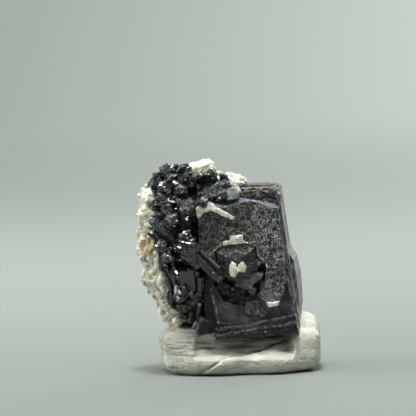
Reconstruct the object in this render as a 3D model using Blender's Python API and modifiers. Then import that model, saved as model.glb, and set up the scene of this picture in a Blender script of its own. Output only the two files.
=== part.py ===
"""A dark fluorite crystal with black schorl tourmaline on a pale feldspar matrix, bedded in a lump of mineral putty.

Metres, with +Z up. The specimen's best side faces -Y, and the origin is the middle of the putty's flat underside.
"""

import math
import random

import bmesh
import bpy
import numpy as np
from mathutils import Matrix, Quaternion, Vector, noise

MM = 0.001

# Driving dimensions of the fluorite crystal
CRYSTAL_WIDTH = 22.7 * MM
CRYSTAL_DEPTH = 22.0 * MM
CRYSTAL_HEIGHT = 36.4 * MM
CRYSTAL_LEAN = math.radians(5.0)
CRYSTAL_YAW = math.radians(4.5)
# The lower right front corner of the crystal
CRYSTAL_CORNER = Vector((14.3, -12.0, 9.3)) * MM

# Driving dimensions of the putty
PUTTY_LENGTH = 40.4 * MM
PUTTY_DEPTH = 28.0 * MM
PUTTY_HEIGHT = 12.3 * MM
PUTTY_LOBE_HEIGHT = 14.9 * MM
PUTTY_LOBE_MIDDLE = Vector((16.4, 3.8)) * MM
PUTTY_LOBE_REACH = 9.5 * MM
# How squarely the putty fills its box, seen from above and from the side: 2 is round, more is squarer
PUTTY_PLAN_POWER = 3.4
PUTTY_SIDE_POWER = 4.6
# What is cut off below, for a flat underside
PUTTY_CUT = 0.5 * MM
# How far the front slopes back towards its top, and draws in under the crystals, as shares of the depth
PUTTY_SLOPE = 0.18
PUTTY_HOLLOW = 0.30

# Clearance that neighbouring solids keep
GAP = 0.3 * MM

# The turn from one seed of a sunflower to the next, by which the crown's prisms are packed
GOLDEN_ANGLE = math.radians(137.5)


def material(name, colour, roughness):
    """A plain surface with one colour and roughness."""
    made = bpy.data.materials.new(name)
    made.use_nodes = True
    shader = made.node_tree.nodes["Principled BSDF"]
    shader.inputs["Base Color"].default_value = (*colour, 1.0)
    shader.inputs["Roughness"].default_value = roughness
    shader.inputs["Metallic"].default_value = 0.0
    return made


def mesh_object(name, bm, collection):
    """Turns a bmesh into an object and frees the bmesh."""
    bmesh.ops.recalc_face_normals(bm, faces=bm.faces)
    mesh = bpy.data.meshes.new(name)
    bm.to_mesh(mesh)
    bm.free()
    made = bpy.data.objects.new(name, mesh)
    collection.objects.link(made)
    return made


def spread(verts):
    """The diagonal of the box round some vertices."""
    places = np.array([tuple(vert.co) for vert in verts])
    return float(np.linalg.norm(places.max(axis=0) - places.min(axis=0)))


def settle(obj):
    """Applies the modifiers and keeps the largest connected piece, without the crumbs that a cut leaves."""
    bpy.context.view_layer.update()
    graph = bpy.context.evaluated_depsgraph_get()
    mesh = bpy.data.meshes.new_from_object(obj.evaluated_get(graph))
    obj.modifiers.clear()
    obj.data = mesh
    bm = bmesh.new()
    bm.from_mesh(mesh)
    waiting = set(bm.verts)
    groups = []
    while waiting:
        group = set()
        front = [waiting.pop()]
        while front:
            vert = front.pop()
            group.add(vert)
            for edge in vert.link_edges:
                other = edge.other_vert(vert)
                if other in waiting:
                    waiting.remove(other)
                    front.append(other)
        groups.append(group)
    groups.sort(key=spread)
    crumbs = [vert for group in groups[:-1] for vert in group]
    bmesh.ops.delete(bm, geom=crumbs, context="VERTS")
    bm.to_mesh(mesh)
    bm.free()
    return obj


def combine(obj, others, operation):
    """Joins other solids to this one, or cuts them out of it, and removes them."""
    tools = bpy.data.collections.new("tools")
    bpy.context.scene.collection.children.link(tools)
    for other in others:
        for collection in list(other.users_collection):
            collection.objects.unlink(other)
        tools.objects.link(other)
    change = obj.modifiers.new(operation.lower(), "BOOLEAN")
    change.operation = operation
    change.operand_type = "COLLECTION"
    change.collection = tools
    change.solver = "EXACT"
    settle(obj)
    for other in others:
        bpy.data.objects.remove(other)
    bpy.data.collections.remove(tools)
    return obj


def outset(source, distance=GAP):
    """A copy of a solid whose faces all stand off from it by the given distance."""
    bm = bmesh.new()
    bm.from_mesh(source.data)
    moves = []
    for vert in bm.verts:
        normals = [face.normal for face in vert.link_faces if face.calc_area() > 1e-10]
        if not normals:
            moves.append(Vector())
            continue
        rows = np.array([tuple(normal) for normal in normals])
        wanted = np.full(len(rows), distance)
        move = Vector(np.linalg.lstsq(rows, wanted, rcond=0.2)[0])
        if move.length > 2 * distance:
            move.length = 2 * distance
        moves.append(move)
    for vert, move in zip(bm.verts, moves):
        vert.co += move
    return mesh_object(source.name + "_clearance", bm, bpy.context.scene.collection)


def cut_clear(obj, *neighbours):
    """Cuts the neighbours out of a solid, with the clearance around them.

    The grown copies of many-sided groups cross themselves a little, which the Manifold solver takes.
    """
    for neighbour in neighbours:
        tool = outset(neighbour)
        change = obj.modifiers.new("clearance", "BOOLEAN")
        change.operation = "DIFFERENCE"
        change.object = tool
        change.solver = "MANIFOLD"
        settle(obj)
        bpy.data.objects.remove(tool)
    return obj


def crystal_frame():
    """Places the fluorite's own axes: x along its width, y into it, z up its height."""
    turn = Matrix.Rotation(-CRYSTAL_YAW, 4, "Z") @ Matrix.Rotation(-CRYSTAL_LEAN, 4, "Y")
    return Matrix.Translation(CRYSTAL_CORNER) @ turn


def block(name, low, high):
    """A box between two corners in millimetres, in the fluorite's own axes."""
    low, high = Vector(low) * MM, Vector(high) * MM
    bm = bmesh.new()
    bmesh.ops.create_cube(bm, size=1.0)
    bmesh.ops.scale(bm, vec=high - low, verts=bm.verts)
    bmesh.ops.translate(bm, vec=(low + high) / 2, verts=bm.verts)
    bmesh.ops.transform(bm, matrix=crystal_frame(), verts=bm.verts)
    return mesh_object(name, bm, bpy.context.scene.collection)


def plate(name, outline, front, back, taper=0.0, ledge=0.0, ledge_from=1e3):
    """A growth layer: an outline across the crystal's front, from one depth to another, in millimetres.

    The front outline is smaller by taper, and its points above ledge_from are lower by ledge.
    """
    points = [Vector((across, 0.0, up)) for across, up in outline]
    middle = sum(points, Vector()) / len(points)
    bm = bmesh.new()
    rear = [bm.verts.new((point + Vector((0, back, 0))) * MM) for point in points]
    face = bm.faces.new(rear)
    made = bmesh.ops.extrude_face_region(bm, geom=[face])
    for vert in [item for item in made["geom"] if isinstance(item, bmesh.types.BMVert)]:
        place = vert.co / MM
        inward = middle - place
        inward.y = 0
        place += inward.normalized() * taper
        if place.z > ledge_from:
            place.z -= ledge
        place.y = front
        vert.co = place * MM
    bmesh.ops.transform(bm, matrix=crystal_frame(), verts=bm.verts)
    return mesh_object(name, bm, bpy.context.scene.collection)


def make_fluorite():
    """The dark cube, with thin growth layers on its front, steps along its foot, and a broken hollow."""
    width, depth, height = (CRYSTAL_WIDTH / MM, CRYSTAL_DEPTH / MM, CRYSTAL_HEIGHT / MM)
    core = plate(
        "fluorite_crystal",
        [
            (-width, 0.9), (0.0, 0.6), (-0.15, 9.0), (-0.75, 20.0), (-1.35, height),
            (-9.0, height + 0.4), (-width + 0.4, height),
        ],
        front=3.0, back=depth,
    )
    upper_layer = plate(
        "upper_layer",
        [
            (-22.0, 24.8), (-21.6, 32.0), (-21.0, 34.4), (-19.6, 35.5), (-17.4, 35.7), (-14.2, 35.1),
            (-11.2, 35.8), (-8.4, 36.2), (-5.6, 35.3), (-4.2, 34.5), (-2.4, 33.7), (-1.3, 32.4),
            (-0.9, 17.3), (-5.8, 17.4), (-6.2, 18.9), (-7.6, 20.6), (-9.0, 15.6), (-11.5, 15.0),
            (-14.4, 14.9), (-18.0, 16.8), (-20.0, 18.6), (-21.0, 21.0),
        ],
        front=0.0, back=4.0, taper=0.2, ledge=1.2, ledge_from=33.0,
    )
    patch_layer = plate(
        "patch_layer",
        [
            (-5.8, 19.0), (-0.9, 18.5), (-0.9, 13.8), (-1.7, 11.2), (-3.6, 8.6), (-6.1, 8.3),
            (-8.3, 9.8), (-9.0, 11.6), (-7.2, 14.2), (-6.6, 16.4),
        ],
        front=0.7, back=4.0, taper=0.5,
    )
    tongue_layer = plate(
        "tongue_layer",
        [(-13.8, 16.4), (-7.0, 16.4), (-7.4, 15.0), (-9.5, 13.7), (-10.1, 12.4), (-11.8, 12.6), (-13.0, 13.9)],
        front=1.0, back=5.6, taper=0.3,
    )
    lower_layer = plate(
        "lower_layer",
        [(-20.9, 19.0), (-19.7, 2.0), (-0.2, 2.0), (-0.3, 10.0), (-0.7, 20.0)],
        front=2.0, back=4.0, taper=0.15,
    )
    foot_step = plate(
        "foot_step",
        [(-21.6, 1.4), (-20.6, 2.9), (-19.5, 3.7), (-8.2, 4.1), (0.1, 5.1), (0.25, 0.9)],
        front=1.1, back=4.0, taper=0.25,
    )
    foot_edge = plate(
        "foot_edge",
        [(-20.9, 1.2), (-20.2, 2.4), (-9.0, 2.0), (0.35, 2.1), (0.35, 0.6)],
        front=0.4, back=4.0, taper=0.2,
    )
    side_growth = plate(
        "side_growth",
        [(-8.0, 3.0), (-0.5, 2.0), (0.9, 7.0), (1.2, 14.4), (0.6, 18.6), (-0.9, 22.0), (-8.0, 22.0)],
        front=8.5, back=20.5, taper=0.5,
    )
    side_high = plate(
        "side_high", [(-4.0, 21.0), (-0.45, 21.0), (-0.95, 35.3), (-4.0, 35.4)], front=5.0, back=15.5
    )
    side_middle = plate(
        "side_middle", [(-4.0, 8.4), (0.1, 8.4), (-0.4, 19.0), (-0.6, 28.6), (-4.0, 28.9)], front=4.2, back=12.5
    )
    side_low = plate("side_low", [(-4.0, 1.2), (0.4, 1.2), (0.2, 9.3), (-4.0, 9.6)], front=4.6, back=21.0)
    top_layer = plate(
        "top_layer", [(-16.0, 34.0), (-1.8, 34.0), (-1.8, 36.9), (-9.0, 37.3), (-16.0, 37.0)], front=8.0, back=20.6
    )
    top_back = plate(
        "top_back", [(-12.6, 34.0), (-2.6, 34.0), (-2.6, 37.2), (-8.7, 37.7), (-12.6, 37.5)], front=13.5, back=21.2
    )
    back_layer = block("back_layer", (-15.0, 20.0, 6.0), (-1.8, 22.7, 30.0))
    layers = [
        upper_layer, patch_layer, lower_layer, foot_step, foot_edge, side_growth,
        side_high, side_middle, side_low, top_layer, top_back, back_layer,
    ]
    combine(core, layers, "UNION")
    top_hollow = plate(
        "top_hollow",
        [
            (-11.4, 35.7), (-10.8, 39.4), (-2.8, 39.4), (-1.9, 36.0), (-1.7, 34.2),
            (-2.4, 33.1), (-4.4, 33.8), (-8.0, 35.0),
        ],
        front=-2.0, back=5.6,
    )
    broken_hollow = plate(
        "broken_hollow",
        [
            (-19.4, 15.2), (-14.4, 17.5), (-9.6, 20.2), (-7.6, 20.2), (-6.4, 19.0), (-6.2, 17.6),
            (-6.8, 16.0), (-7.4, 13.6), (-9.3, 10.9), (-11.4, 9.0), (-15.0, 9.6), (-17.4, 10.6),
        ],
        front=-2.0, back=4.9, taper=-0.6,
    )
    combine(core, [top_hollow, broken_hollow], "DIFFERENCE")
    combine(core, [tongue_layer], "UNION")
    return combine(core, [hexagon_cutter()], "DIFFERENCE")


# The hexagonal schorl that the fluorite grew round: its middle on the front face, and its size
EMBEDDED_MIDDLE = Vector((-13.0, 0.0, 20.3)) * MM
EMBEDDED_RADIUS = 5.3 * MM
EMBEDDED_ROOT_DEPTH = 4.6 * MM
EMBEDDED_RIM_DEPTH = 0.5 * MM
PYRAMID_SLOPE_WIDTH = 2.9 * MM
PYRAMID_HEIGHT = 1.5 * MM
PYRAMID_PEAK = 0.5 * MM


def hexagon_cutter():
    """The pocket in the fluorite's front that holds the hexagonal schorl."""
    bm = bmesh.new()
    bmesh.ops.create_cone(
        bm, cap_ends=True, segments=6,
        radius1=EMBEDDED_RADIUS + GAP, radius2=EMBEDDED_RADIUS + 3 * GAP, depth=8 * MM,
    )
    rear = EMBEDDED_ROOT_DEPTH + GAP
    upright = Matrix.Rotation(math.radians(90), 4, "X") @ Matrix.Rotation(math.radians(60), 4, "Z")
    place = Matrix.Translation(EMBEDDED_MIDDLE + Vector((0, rear - 4 * MM, 0)))
    bmesh.ops.transform(bm, matrix=crystal_frame() @ place @ upright, verts=bm.verts)
    return mesh_object("hexagon_cutter", bm, bpy.context.scene.collection)


def prism(name, root, tip, radius, turn=0.0, slant=0.0, slant_way=0.0, peak=0.0, narrow=1.0, twist=9.0):
    """A tourmaline prism from root to tip in millimetres, with broad and narrow faces by turns.

    Its end slants by slant towards slant_way, and rises to a low pyramid by peak times the radius.
    """
    root, tip = Vector(root) * MM, Vector(tip) * MM
    length = (tip - root).length
    bm = bmesh.new()
    bmesh.ops.create_cone(
        bm, cap_ends=True, segments=6, radius1=radius * narrow * MM, radius2=radius * MM, depth=length
    )
    for vert in bm.verts:
        side = round(math.degrees(math.atan2(vert.co.y, vert.co.x)) / 60)
        sign = 1 if side % 2 else -1
        vert.co.rotate(Quaternion((0, 0, 1), math.radians(twist * sign)))
        if vert.co.z > 0:
            lean = vert.co.x * math.cos(slant_way) + vert.co.y * math.sin(slant_way)
            vert.co.z += lean * slant
    if peak:
        end = max(bm.faces, key=lambda face: face.calc_center_median().z)
        bmesh.ops.poke(bm, faces=[end], offset=peak * radius * MM)
    bmesh.ops.translate(bm, vec=(0, 0, length / 2), verts=bm.verts)
    aim = (tip - root).to_track_quat("Z", "Y") @ Quaternion((0, 0, 1), turn)
    bmesh.ops.transform(bm, matrix=Matrix.Translation(root) @ aim.to_matrix().to_4x4(), verts=bm.verts)
    return mesh_object(name, bm, bpy.context.scene.collection)


# The larger prisms of the main schorl group: root, tip and radius in millimetres, slant of the end
SCHORL_PRISMS = [
    # The upright one beside the fluorite, and the one behind it
    ((-12.6, -3.0, 33.0), (-12.6, -10.5, 43.7), 2.6, 0.25),
    ((-10.4, -4.0, 34.4), (-10.2, -9.6, 42.9), 1.7, 0.2),
    # Short ones at the left, under the crown
    ((-15.6, -2.0, 42.0), (-19.1, -9.6, 44.0), 2.0, 0.5),
    ((-14.6, -2.0, 40.3), (-17.6, -10.2, 42.0), 1.8, 0.6),
    ((-17.0, -2.0, 40.6), (-21.4, -6.6, 42.3), 1.3, 0.2),
    ((-13.7, -3.0, 37.7), (-16.7, -11.2, 39.3), 2.1, 0.7),
    # Slanting ones across the left
    ((-13.6, -6.0, 30.8), (-21.5, -7.8, 39.8), 1.7, 0.3),
    ((-14.6, -5.0, 29.6), (-21.8, -7.2, 36.6), 1.5, 0.4),
    ((-12.6, -5.5, 34.0), (-19.0, -10.6, 38.4), 1.3, 0.5),
    # The middle of the left side
    ((-13.8, -4.0, 34.4), (-12.6, -12.4, 35.3), 1.6, 0.6),
    ((-11.9, -4.0, 32.6), (-11.2, -11.6, 33.9), 1.1, 0.5),
    ((-15.6, -6.0, 31.8), (-10.2, -12.6, 30.9), 2.8, 0.3),
    ((-13.0, -5.0, 27.8), (-9.9, -12.0, 28.4), 1.8, 0.5),
    ((-15.8, -3.0, 31.2), (-19.2, -10.4, 32.5), 1.9, 0.6),
    ((-15.2, -3.0, 29.4), (-18.0, -10.8, 29.8), 1.8, 0.4),
    ((-16.0, -3.0, 33.2), (-20.6, -7.6, 33.3), 1.4, 0.3),
    # The dark ones below
    ((-12.0, -2.0, 14.6), (-13.0, -8.6, 28.2), 3.3, 0.3),
    ((-10.6, -2.5, 13.4), (-10.2, -7.4, 26.0), 2.9, 0.3),
    ((-13.8, -2.0, 17.4), (-15.8, -8.2, 26.7), 2.2, 0.4),
    ((-12.6, -1.0, 18.0), (-14.7, -9.8, 20.8), 2.4, 0.7),
    ((-11.6, -1.0, 15.0), (-13.8, -8.6, 17.6), 2.0, 0.5),
    ((-10.8, -1.0, 18.1), (-10.9, -9.0, 19.7), 2.2, 0.5),
]

# The crown of the schorl group: a bundle of parallel prisms with a domed outline
CROWN_MIDDLE = Vector((-14.3, -1.5, 45.1))
CROWN_WAY = Vector((-0.34, -0.72, 0.52)).normalized()
CROWN_RADIUS = 5.6
CROWN_LENGTH = 8.0
CROWN_COUNT = 24

# The mass in which the group's prisms are rooted: middle and half sizes in millimetres
GROUP_CORE_MIDDLE = (-15.0, -1.2, 31.0)
GROUP_CORE_SIZE = (5.8, 6.0, 18.0)


def crown_prisms(dice):
    """Root, tip, radius and slant of each prism of the crown, packed as a sunflower's seeds are."""
    across = CROWN_WAY.cross(Vector((0, 0, 1))).normalized()
    over = across.cross(CROWN_WAY)
    found = []
    for number in range(CROWN_COUNT):
        share = (number + 0.5) / CROWN_COUNT
        angle = number * GOLDEN_ANGLE
        out = math.sqrt(share)
        outward = across * math.cos(angle) + over * math.sin(angle)
        way = (CROWN_WAY + outward * (0.42 * out)).normalized()
        foot = CROWN_MIDDLE + outward * (CROWN_RADIUS * 0.55 * out)
        length = CROWN_LENGTH * (1 - 0.34 * share) * dice.uniform(0.86, 1.05)
        found.append((foot, foot + way * length, dice.uniform(1.15, 1.75), dice.uniform(0.1, 0.8)))
    return found


def lump(bm, middle, size, subdivisions=2):
    """Adds one rounded lump, with its middle and half sizes in millimetres."""
    made = bmesh.ops.create_icosphere(bm, subdivisions=subdivisions, radius=1.0)
    bmesh.ops.scale(bm, vec=Vector(size) * MM, verts=made["verts"])
    bmesh.ops.translate(bm, vec=Vector(middle) * MM, verts=made["verts"])
    return made["verts"]


def make_schorl_group(fluorite):
    """The black prisms left of the fluorite, grown together in one mass."""
    dice = random.Random(11)
    bm = bmesh.new()
    lump(bm, GROUP_CORE_MIDDLE, GROUP_CORE_SIZE)
    base = mesh_object("schorl_group", bm, bpy.context.scene.collection)
    prisms = []
    for number, (root, tip, radius, slant) in enumerate(SCHORL_PRISMS + crown_prisms(dice)):
        peak = 0.35 if number % 3 == 0 else 0.0
        prisms.append(
            prism(
                f"schorl_prism_{number:02d}", root, tip, radius,
                turn=dice.uniform(0, math.tau), slant=slant, slant_way=dice.uniform(0, math.tau), peak=peak,
            )
        )
    combine(base, prisms, "UNION")
    return cut_clear(base, fluorite)


def make_upper_prisms(neighbours):
    """The prisms that lie side by side behind the fluorite's top edge, their ends towards the right."""
    base = prism("schorl_upper_prisms", (-10.6, -1.0, 45.7), (-4.9, -6.6, 50.2), 1.9, turn=0.4, slant=0.1)
    others = [
        prism("upper_prism_long", (-11.0, -3.0, 42.9), (-1.4, -7.4, 47.2), 2.0, turn=0.15, slant=0.3),
        prism("upper_prism_low", (-9.6, -4.0, 41.9), (-1.8, -9.4, 45.4), 1.5, turn=0.6, slant=0.3),
        prism("upper_prism_end", (-6.0, 0.5, 44.4), (-2.4, -3.6, 49.2), 1.5, turn=0.2, slant=0.3, slant_way=2),
        prism("upper_prism_root", (-8.6, 3.0, 43.2), (-6.6, -5.0, 46.6), 3.0, turn=0.2, slant=0.4),
        prism("upper_prism_foot", (-12.0, -5.0, 41.8), (-7.6, -11.4, 43.6), 1.5, turn=0.9, slant=0.5),
    ]
    combine(base, others, "UNION")
    return cut_clear(base, *neighbours)


def make_face_prism(neighbours):
    """The striated prism that lies aslant on the fluorite's front, with a thinner one beside it."""
    base = prism("schorl_face_prism", (-10.8, -10.2, 30.6), (-4.0, -12.2, 23.2), 1.15, turn=0.5, slant=0.6)
    beside = prism("face_prism_thin", (-9.4, -10.4, 31.0), (-4.8, -12.0, 26.3), 0.75, turn=0.9, slant=0.4)
    combine(base, [beside], "UNION")
    return cut_clear(base, *neighbours)


def make_embedded_schorl():
    """The hexagonal schorl seen end on in the fluorite's front, with a low pyramid for its end."""
    bm = bmesh.new()
    length = EMBEDDED_ROOT_DEPTH - EMBEDDED_RIM_DEPTH
    bmesh.ops.create_cone(
        bm, cap_ends=True, segments=6, radius1=EMBEDDED_RADIUS, radius2=EMBEDDED_RADIUS, depth=length
    )
    end = max(bm.faces, key=lambda face: face.calc_center_median().z)
    bmesh.ops.inset_region(bm, faces=[end], thickness=PYRAMID_SLOPE_WIDTH, depth=PYRAMID_HEIGHT)
    bmesh.ops.poke(bm, faces=[end], offset=PYRAMID_PEAK)
    upright = Matrix.Rotation(math.radians(90), 4, "X") @ Matrix.Rotation(math.radians(60), 4, "Z")
    place = Matrix.Translation(EMBEDDED_MIDDLE + Vector((0, EMBEDDED_ROOT_DEPTH - length / 2, 0)))
    bmesh.ops.transform(bm, matrix=crystal_frame() @ place @ upright, verts=bm.verts)
    return mesh_object("schorl_hexagonal_crystal", bm, bpy.context.scene.collection)


def make_feldspar_grains(neighbours):
    """The cream grains on the fluorite's front: a ridge, a bar over the hexagon, a pair below it and a tip."""
    ridge = plate(
        "feldspar_ridge",
        [
            (-22.0, 35.5), (-20.8, 36.0), (-18.8, 36.0), (-17.4, 35.0), (-14.9, 33.1), (-12.0, 31.2),
            (-12.3, 30.5), (-14.2, 31.4), (-16.3, 32.6), (-18.1, 33.9), (-20.1, 33.0), (-21.5, 31.6),
        ],
        front=-1.1, back=0.9, taper=0.3,
    )
    bar = plate(
        "feldspar_bar",
        [(-16.0, 24.6), (-15.8, 25.5), (-14.0, 25.6), (-13.8, 26.7), (-10.8, 26.5), (-10.5, 25.2), (-9.5, 24.4)],
        front=-1.2, back=0.9, taper=0.2,
    )
    pair = plate(
        "feldspar_pair",
        [
            (-15.1, 18.0), (-14.8, 19.6), (-14.2, 20.4), (-13.4, 20.0), (-12.9, 19.0), (-12.5, 19.0),
            (-11.8, 20.0), (-11.3, 20.1), (-10.6, 18.6), (-11.0, 17.4), (-12.4, 17.5), (-13.4, 16.9),
            (-14.1, 16.1), (-15.0, 17.0),
        ],
        front=-3.4, back=-0.2, taper=0.45,
    )
    tip = plate(
        "feldspar_tip",
        [(-7.1, 9.6), (-5.9, 9.2), (-3.4, 9.2), (-4.0, 8.1), (-6.2, 7.8), (-6.9, 8.5)],
        front=-0.7, back=1.5, taper=0.3,
    )
    for grain in (ridge, bar, pair, tip):
        cut_clear(grain, *neighbours)
    return [ridge, bar, pair, tip]


def make_quartz_grain(neighbours):
    """The clear grey grain on the fluorite's top edge, against the upper prisms."""
    made = plate(
        "quartz_grain",
        [(-14.6, 37.3), (-13.2, 38.5), (-11.2, 38.3), (-10.6, 36.9), (-10.8, 35.6), (-13.6, 35.4)],
        front=0.6, back=6.5, taper=0.5,
    )
    return cut_clear(made, *neighbours)


TOP_FELDSPAR_SIZE = Vector((6.0, 6.6, 7.6)) * MM
TOP_FELDSPAR_MIDDLE = Vector((-8.0, 0.2, 48.9)) * MM
TOP_FELDSPAR_BLUNT = 1.1 * MM


def make_top_feldspar(neighbours):
    """The blunt cream crystal between the crown and the upper prisms."""
    bm = bmesh.new()
    bmesh.ops.create_cube(bm, size=1.0)
    bmesh.ops.scale(bm, vec=TOP_FELDSPAR_SIZE, verts=bm.verts)
    bmesh.ops.bevel(
        bm, geom=bm.edges[:], offset=TOP_FELDSPAR_BLUNT, segments=1, profile=0.5, affect="EDGES", material=-1
    )
    turn = Matrix.Rotation(math.radians(-16), 4, "Y") @ Matrix.Rotation(math.radians(20), 4, "Z")
    place = Matrix.Translation(TOP_FELDSPAR_MIDDLE)
    bmesh.ops.transform(bm, matrix=place @ turn, verts=bm.verts)
    made = mesh_object("feldspar_crystal", bm, bpy.context.scene.collection)
    return cut_clear(made, *neighbours)


SMALL_FLUORITE_SIDE = 3.5 * MM
SMALL_FLUORITE_MIDDLE = Vector((-9.0, -7.2, 12.3)) * MM


def make_small_fluorite(neighbours):
    """The small fluorite cube at the big one's lower left."""
    bm = bmesh.new()
    bmesh.ops.create_cube(bm, size=SMALL_FLUORITE_SIDE)
    turn = Matrix.Rotation(math.radians(24), 4, "Y") @ Matrix.Rotation(math.radians(26), 4, "Z")
    place = Matrix.Translation(SMALL_FLUORITE_MIDDLE)
    bmesh.ops.transform(bm, matrix=place @ turn, verts=bm.verts)
    made = mesh_object("fluorite_small_crystal", bm, bpy.context.scene.collection)
    return cut_clear(made, *neighbours)


# The matrix as lumps: middle and half sizes in millimetres
MATRIX_LUMPS = [
    # The left side, from the top down
    ((-15.4, 4.0, 43.8), (7.2, 7.6, 5.4)),
    ((-19.6, 3.2, 43.2), (4.9, 6.8, 5.4)),
    ((-18.6, 2.6, 38.2), (6.6, 8.6, 8.4)),
    ((-19.2, 2.4, 31.0), (6.6, 8.4, 6.4)),
    ((-17.8, 2.4, 23.6), (6.8, 8.6, 6.2)),
    ((-15.2, 3.0, 16.4), (5.8, 8.4, 6.2)),
    ((-18.4, 3.0, 46.6), (3.6, 4.6, 3.0)),
    # The back
    ((-9.0, 9.6, 36.0), (11.0, 8.6, 12.0)),
    ((-7.4, 10.0, 20.0), (10.6, 7.4, 10.4)),
    ((3.2, 12.2, 27.0), (8.4, 4.6, 11.0)),
    # The ridge that shows above the fluorite
    ((-3.6, 6.6, 45.6), (6.8, 5.8, 4.4)),
]
MATRIX_VOXEL = 0.9 * MM
MATRIX_FACES = 2400
GRAIN_SIZE = 2.6 * MM
GRAIN_RELIEF = 0.75 * MM


def roughened(point, normal):
    """Moves a point of the matrix by the blocky relief of its grains."""
    distances, places = noise.voronoi(point / GRAIN_SIZE)
    block_height = noise.cell(places[0] * 7.3)
    hollow = min(1.0, (distances[1] - distances[0]) * 3)
    return point + normal * GRAIN_RELIEF * (block_height - 0.6 + 0.5 * hollow)


def skin(rock, size):
    """Covers a solid with one new even surface."""
    change = rock.modifiers.new("skin", "REMESH")
    change.mode = "VOXEL"
    change.voxel_size = size
    return settle(rock)


def make_matrix(neighbours):
    """The pale granular feldspar and quartz rock that carries the crystals."""
    bm = bmesh.new()
    for middle, size in MATRIX_LUMPS:
        lump(bm, middle, size, subdivisions=3)
    rock = skin(mesh_object("matrix", bm, bpy.context.scene.collection), MATRIX_VOXEL)
    for vert, normal in zip(rock.data.vertices, [v.normal.copy() for v in rock.data.vertices]):
        vert.co = roughened(vert.co, normal)
    skin(rock, MATRIX_VOXEL)
    fewer = rock.modifiers.new("fewer", "DECIMATE")
    triangles = sum(len(face.vertices) - 2 for face in rock.data.polygons)
    fewer.ratio = MATRIX_FACES / triangles
    settle(rock)
    return cut_clear(rock, *neighbours)


def smooth(value, low, high):
    """0 below low, 1 above high and a smooth step between."""
    share = min(1.0, max(0.0, (value - low) / (high - low)))
    return share * share * (3 - 2 * share)


def putty_height(x, y):
    """The height of the putty's top over a point of its footprint, before the specimen is bedded in it."""
    away = (Vector((x, y)) - PUTTY_LOBE_MIDDLE).length
    lobe = max(0.0, 1 - (away / PUTTY_LOBE_REACH) ** 2)
    sag = 1.2 * MM * max(0.0, 1 - abs(x - 5 * MM) / (13 * MM))
    front_fall = 0.7 * MM * max(0.0, -y / (PUTTY_DEPTH / 2))
    height = PUTTY_HEIGHT - sag - front_fall
    return height + (PUTTY_LOBE_HEIGHT - height) * lobe


def putty_waist(x, y, z):
    """The share of its depth that the front keeps at a place: less near its top, and least under the crystals."""
    if y > 0:
        return 1.0
    slope = PUTTY_SLOPE * smooth(z / MM, 2.0, 10.5)
    under = smooth(x / MM, -13.5, -9.5) * (1 - smooth(x / MM, 12.0, 14.5))
    return 1 - max(slope, PUTTY_HOLLOW * under * smooth(z / MM, 1.6, 6.2))


def putty_place(corner):
    """The place on the putty of a point of a cube two units wide: nearly oval from above, squarer from the side."""
    across, along, level = corner
    plan = (abs(across) ** PUTTY_PLAN_POWER + abs(along) ** PUTTY_PLAN_POWER) ** (1 / PUTTY_PLAN_POWER)
    reach = (plan ** PUTTY_SIDE_POWER + abs(level) ** PUTTY_SIDE_POWER) ** (1 / PUTTY_SIDE_POWER)
    x, y, rise = across / reach, along / reach, (level / reach + 1) / 2
    uneven = 1 + 0.06 * noise.noise(Vector((x * 2.4, y * 1.7, rise * 0.8)))
    x *= uneven * PUTTY_LENGTH / 2
    y *= uneven * PUTTY_DEPTH / 2
    z = putty_height(x, y) * rise
    return Vector((x, y * putty_waist(x, y, z - PUTTY_CUT), z))


def make_putty(neighbours):
    """The kneaded lump of putty, flat below, that the specimen is pressed into."""
    bm = bmesh.new()
    bmesh.ops.create_cube(bm, size=2.0)
    bmesh.ops.subdivide_edges(bm, edges=bm.edges, cuts=6, use_grid_fill=True)
    for vert in bm.verts:
        vert.co = putty_place(vert.co)
    putty = mesh_object("putty_base", bm, bpy.context.scene.collection)
    soft = putty.modifiers.new("soft", "SUBSURF")
    soft.levels = 1
    soft.render_levels = 1
    settle(putty)
    bm = bmesh.new()
    bm.from_mesh(putty.data)
    low = min(vert.co.z for vert in bm.verts) + PUTTY_CUT
    everything = bm.verts[:] + bm.edges[:] + bm.faces[:]
    bmesh.ops.bisect_plane(bm, geom=everything, plane_co=(0, 0, low), plane_no=(0, 0, -1), clear_outer=True)
    rim = [edge for edge in bm.edges if edge.is_boundary]
    bmesh.ops.contextual_create(bm, geom=rim)
    bmesh.ops.translate(bm, vec=(0, 0, -low), verts=bm.verts)
    bmesh.ops.recalc_face_normals(bm, faces=bm.faces)
    bm.to_mesh(putty.data)
    bm.free()
    return cut_clear(putty, *neighbours)


def finish(objects, collection, look):
    """Gives some pieces their material and puts them in the specimen's collection."""
    for obj in objects:
        for holder in list(obj.users_collection):
            holder.objects.unlink(obj)
        collection.objects.link(obj)
        obj.data.materials.clear()
        obj.data.materials.append(look)
        for face in obj.data.polygons:
            face.use_smooth = False


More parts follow.
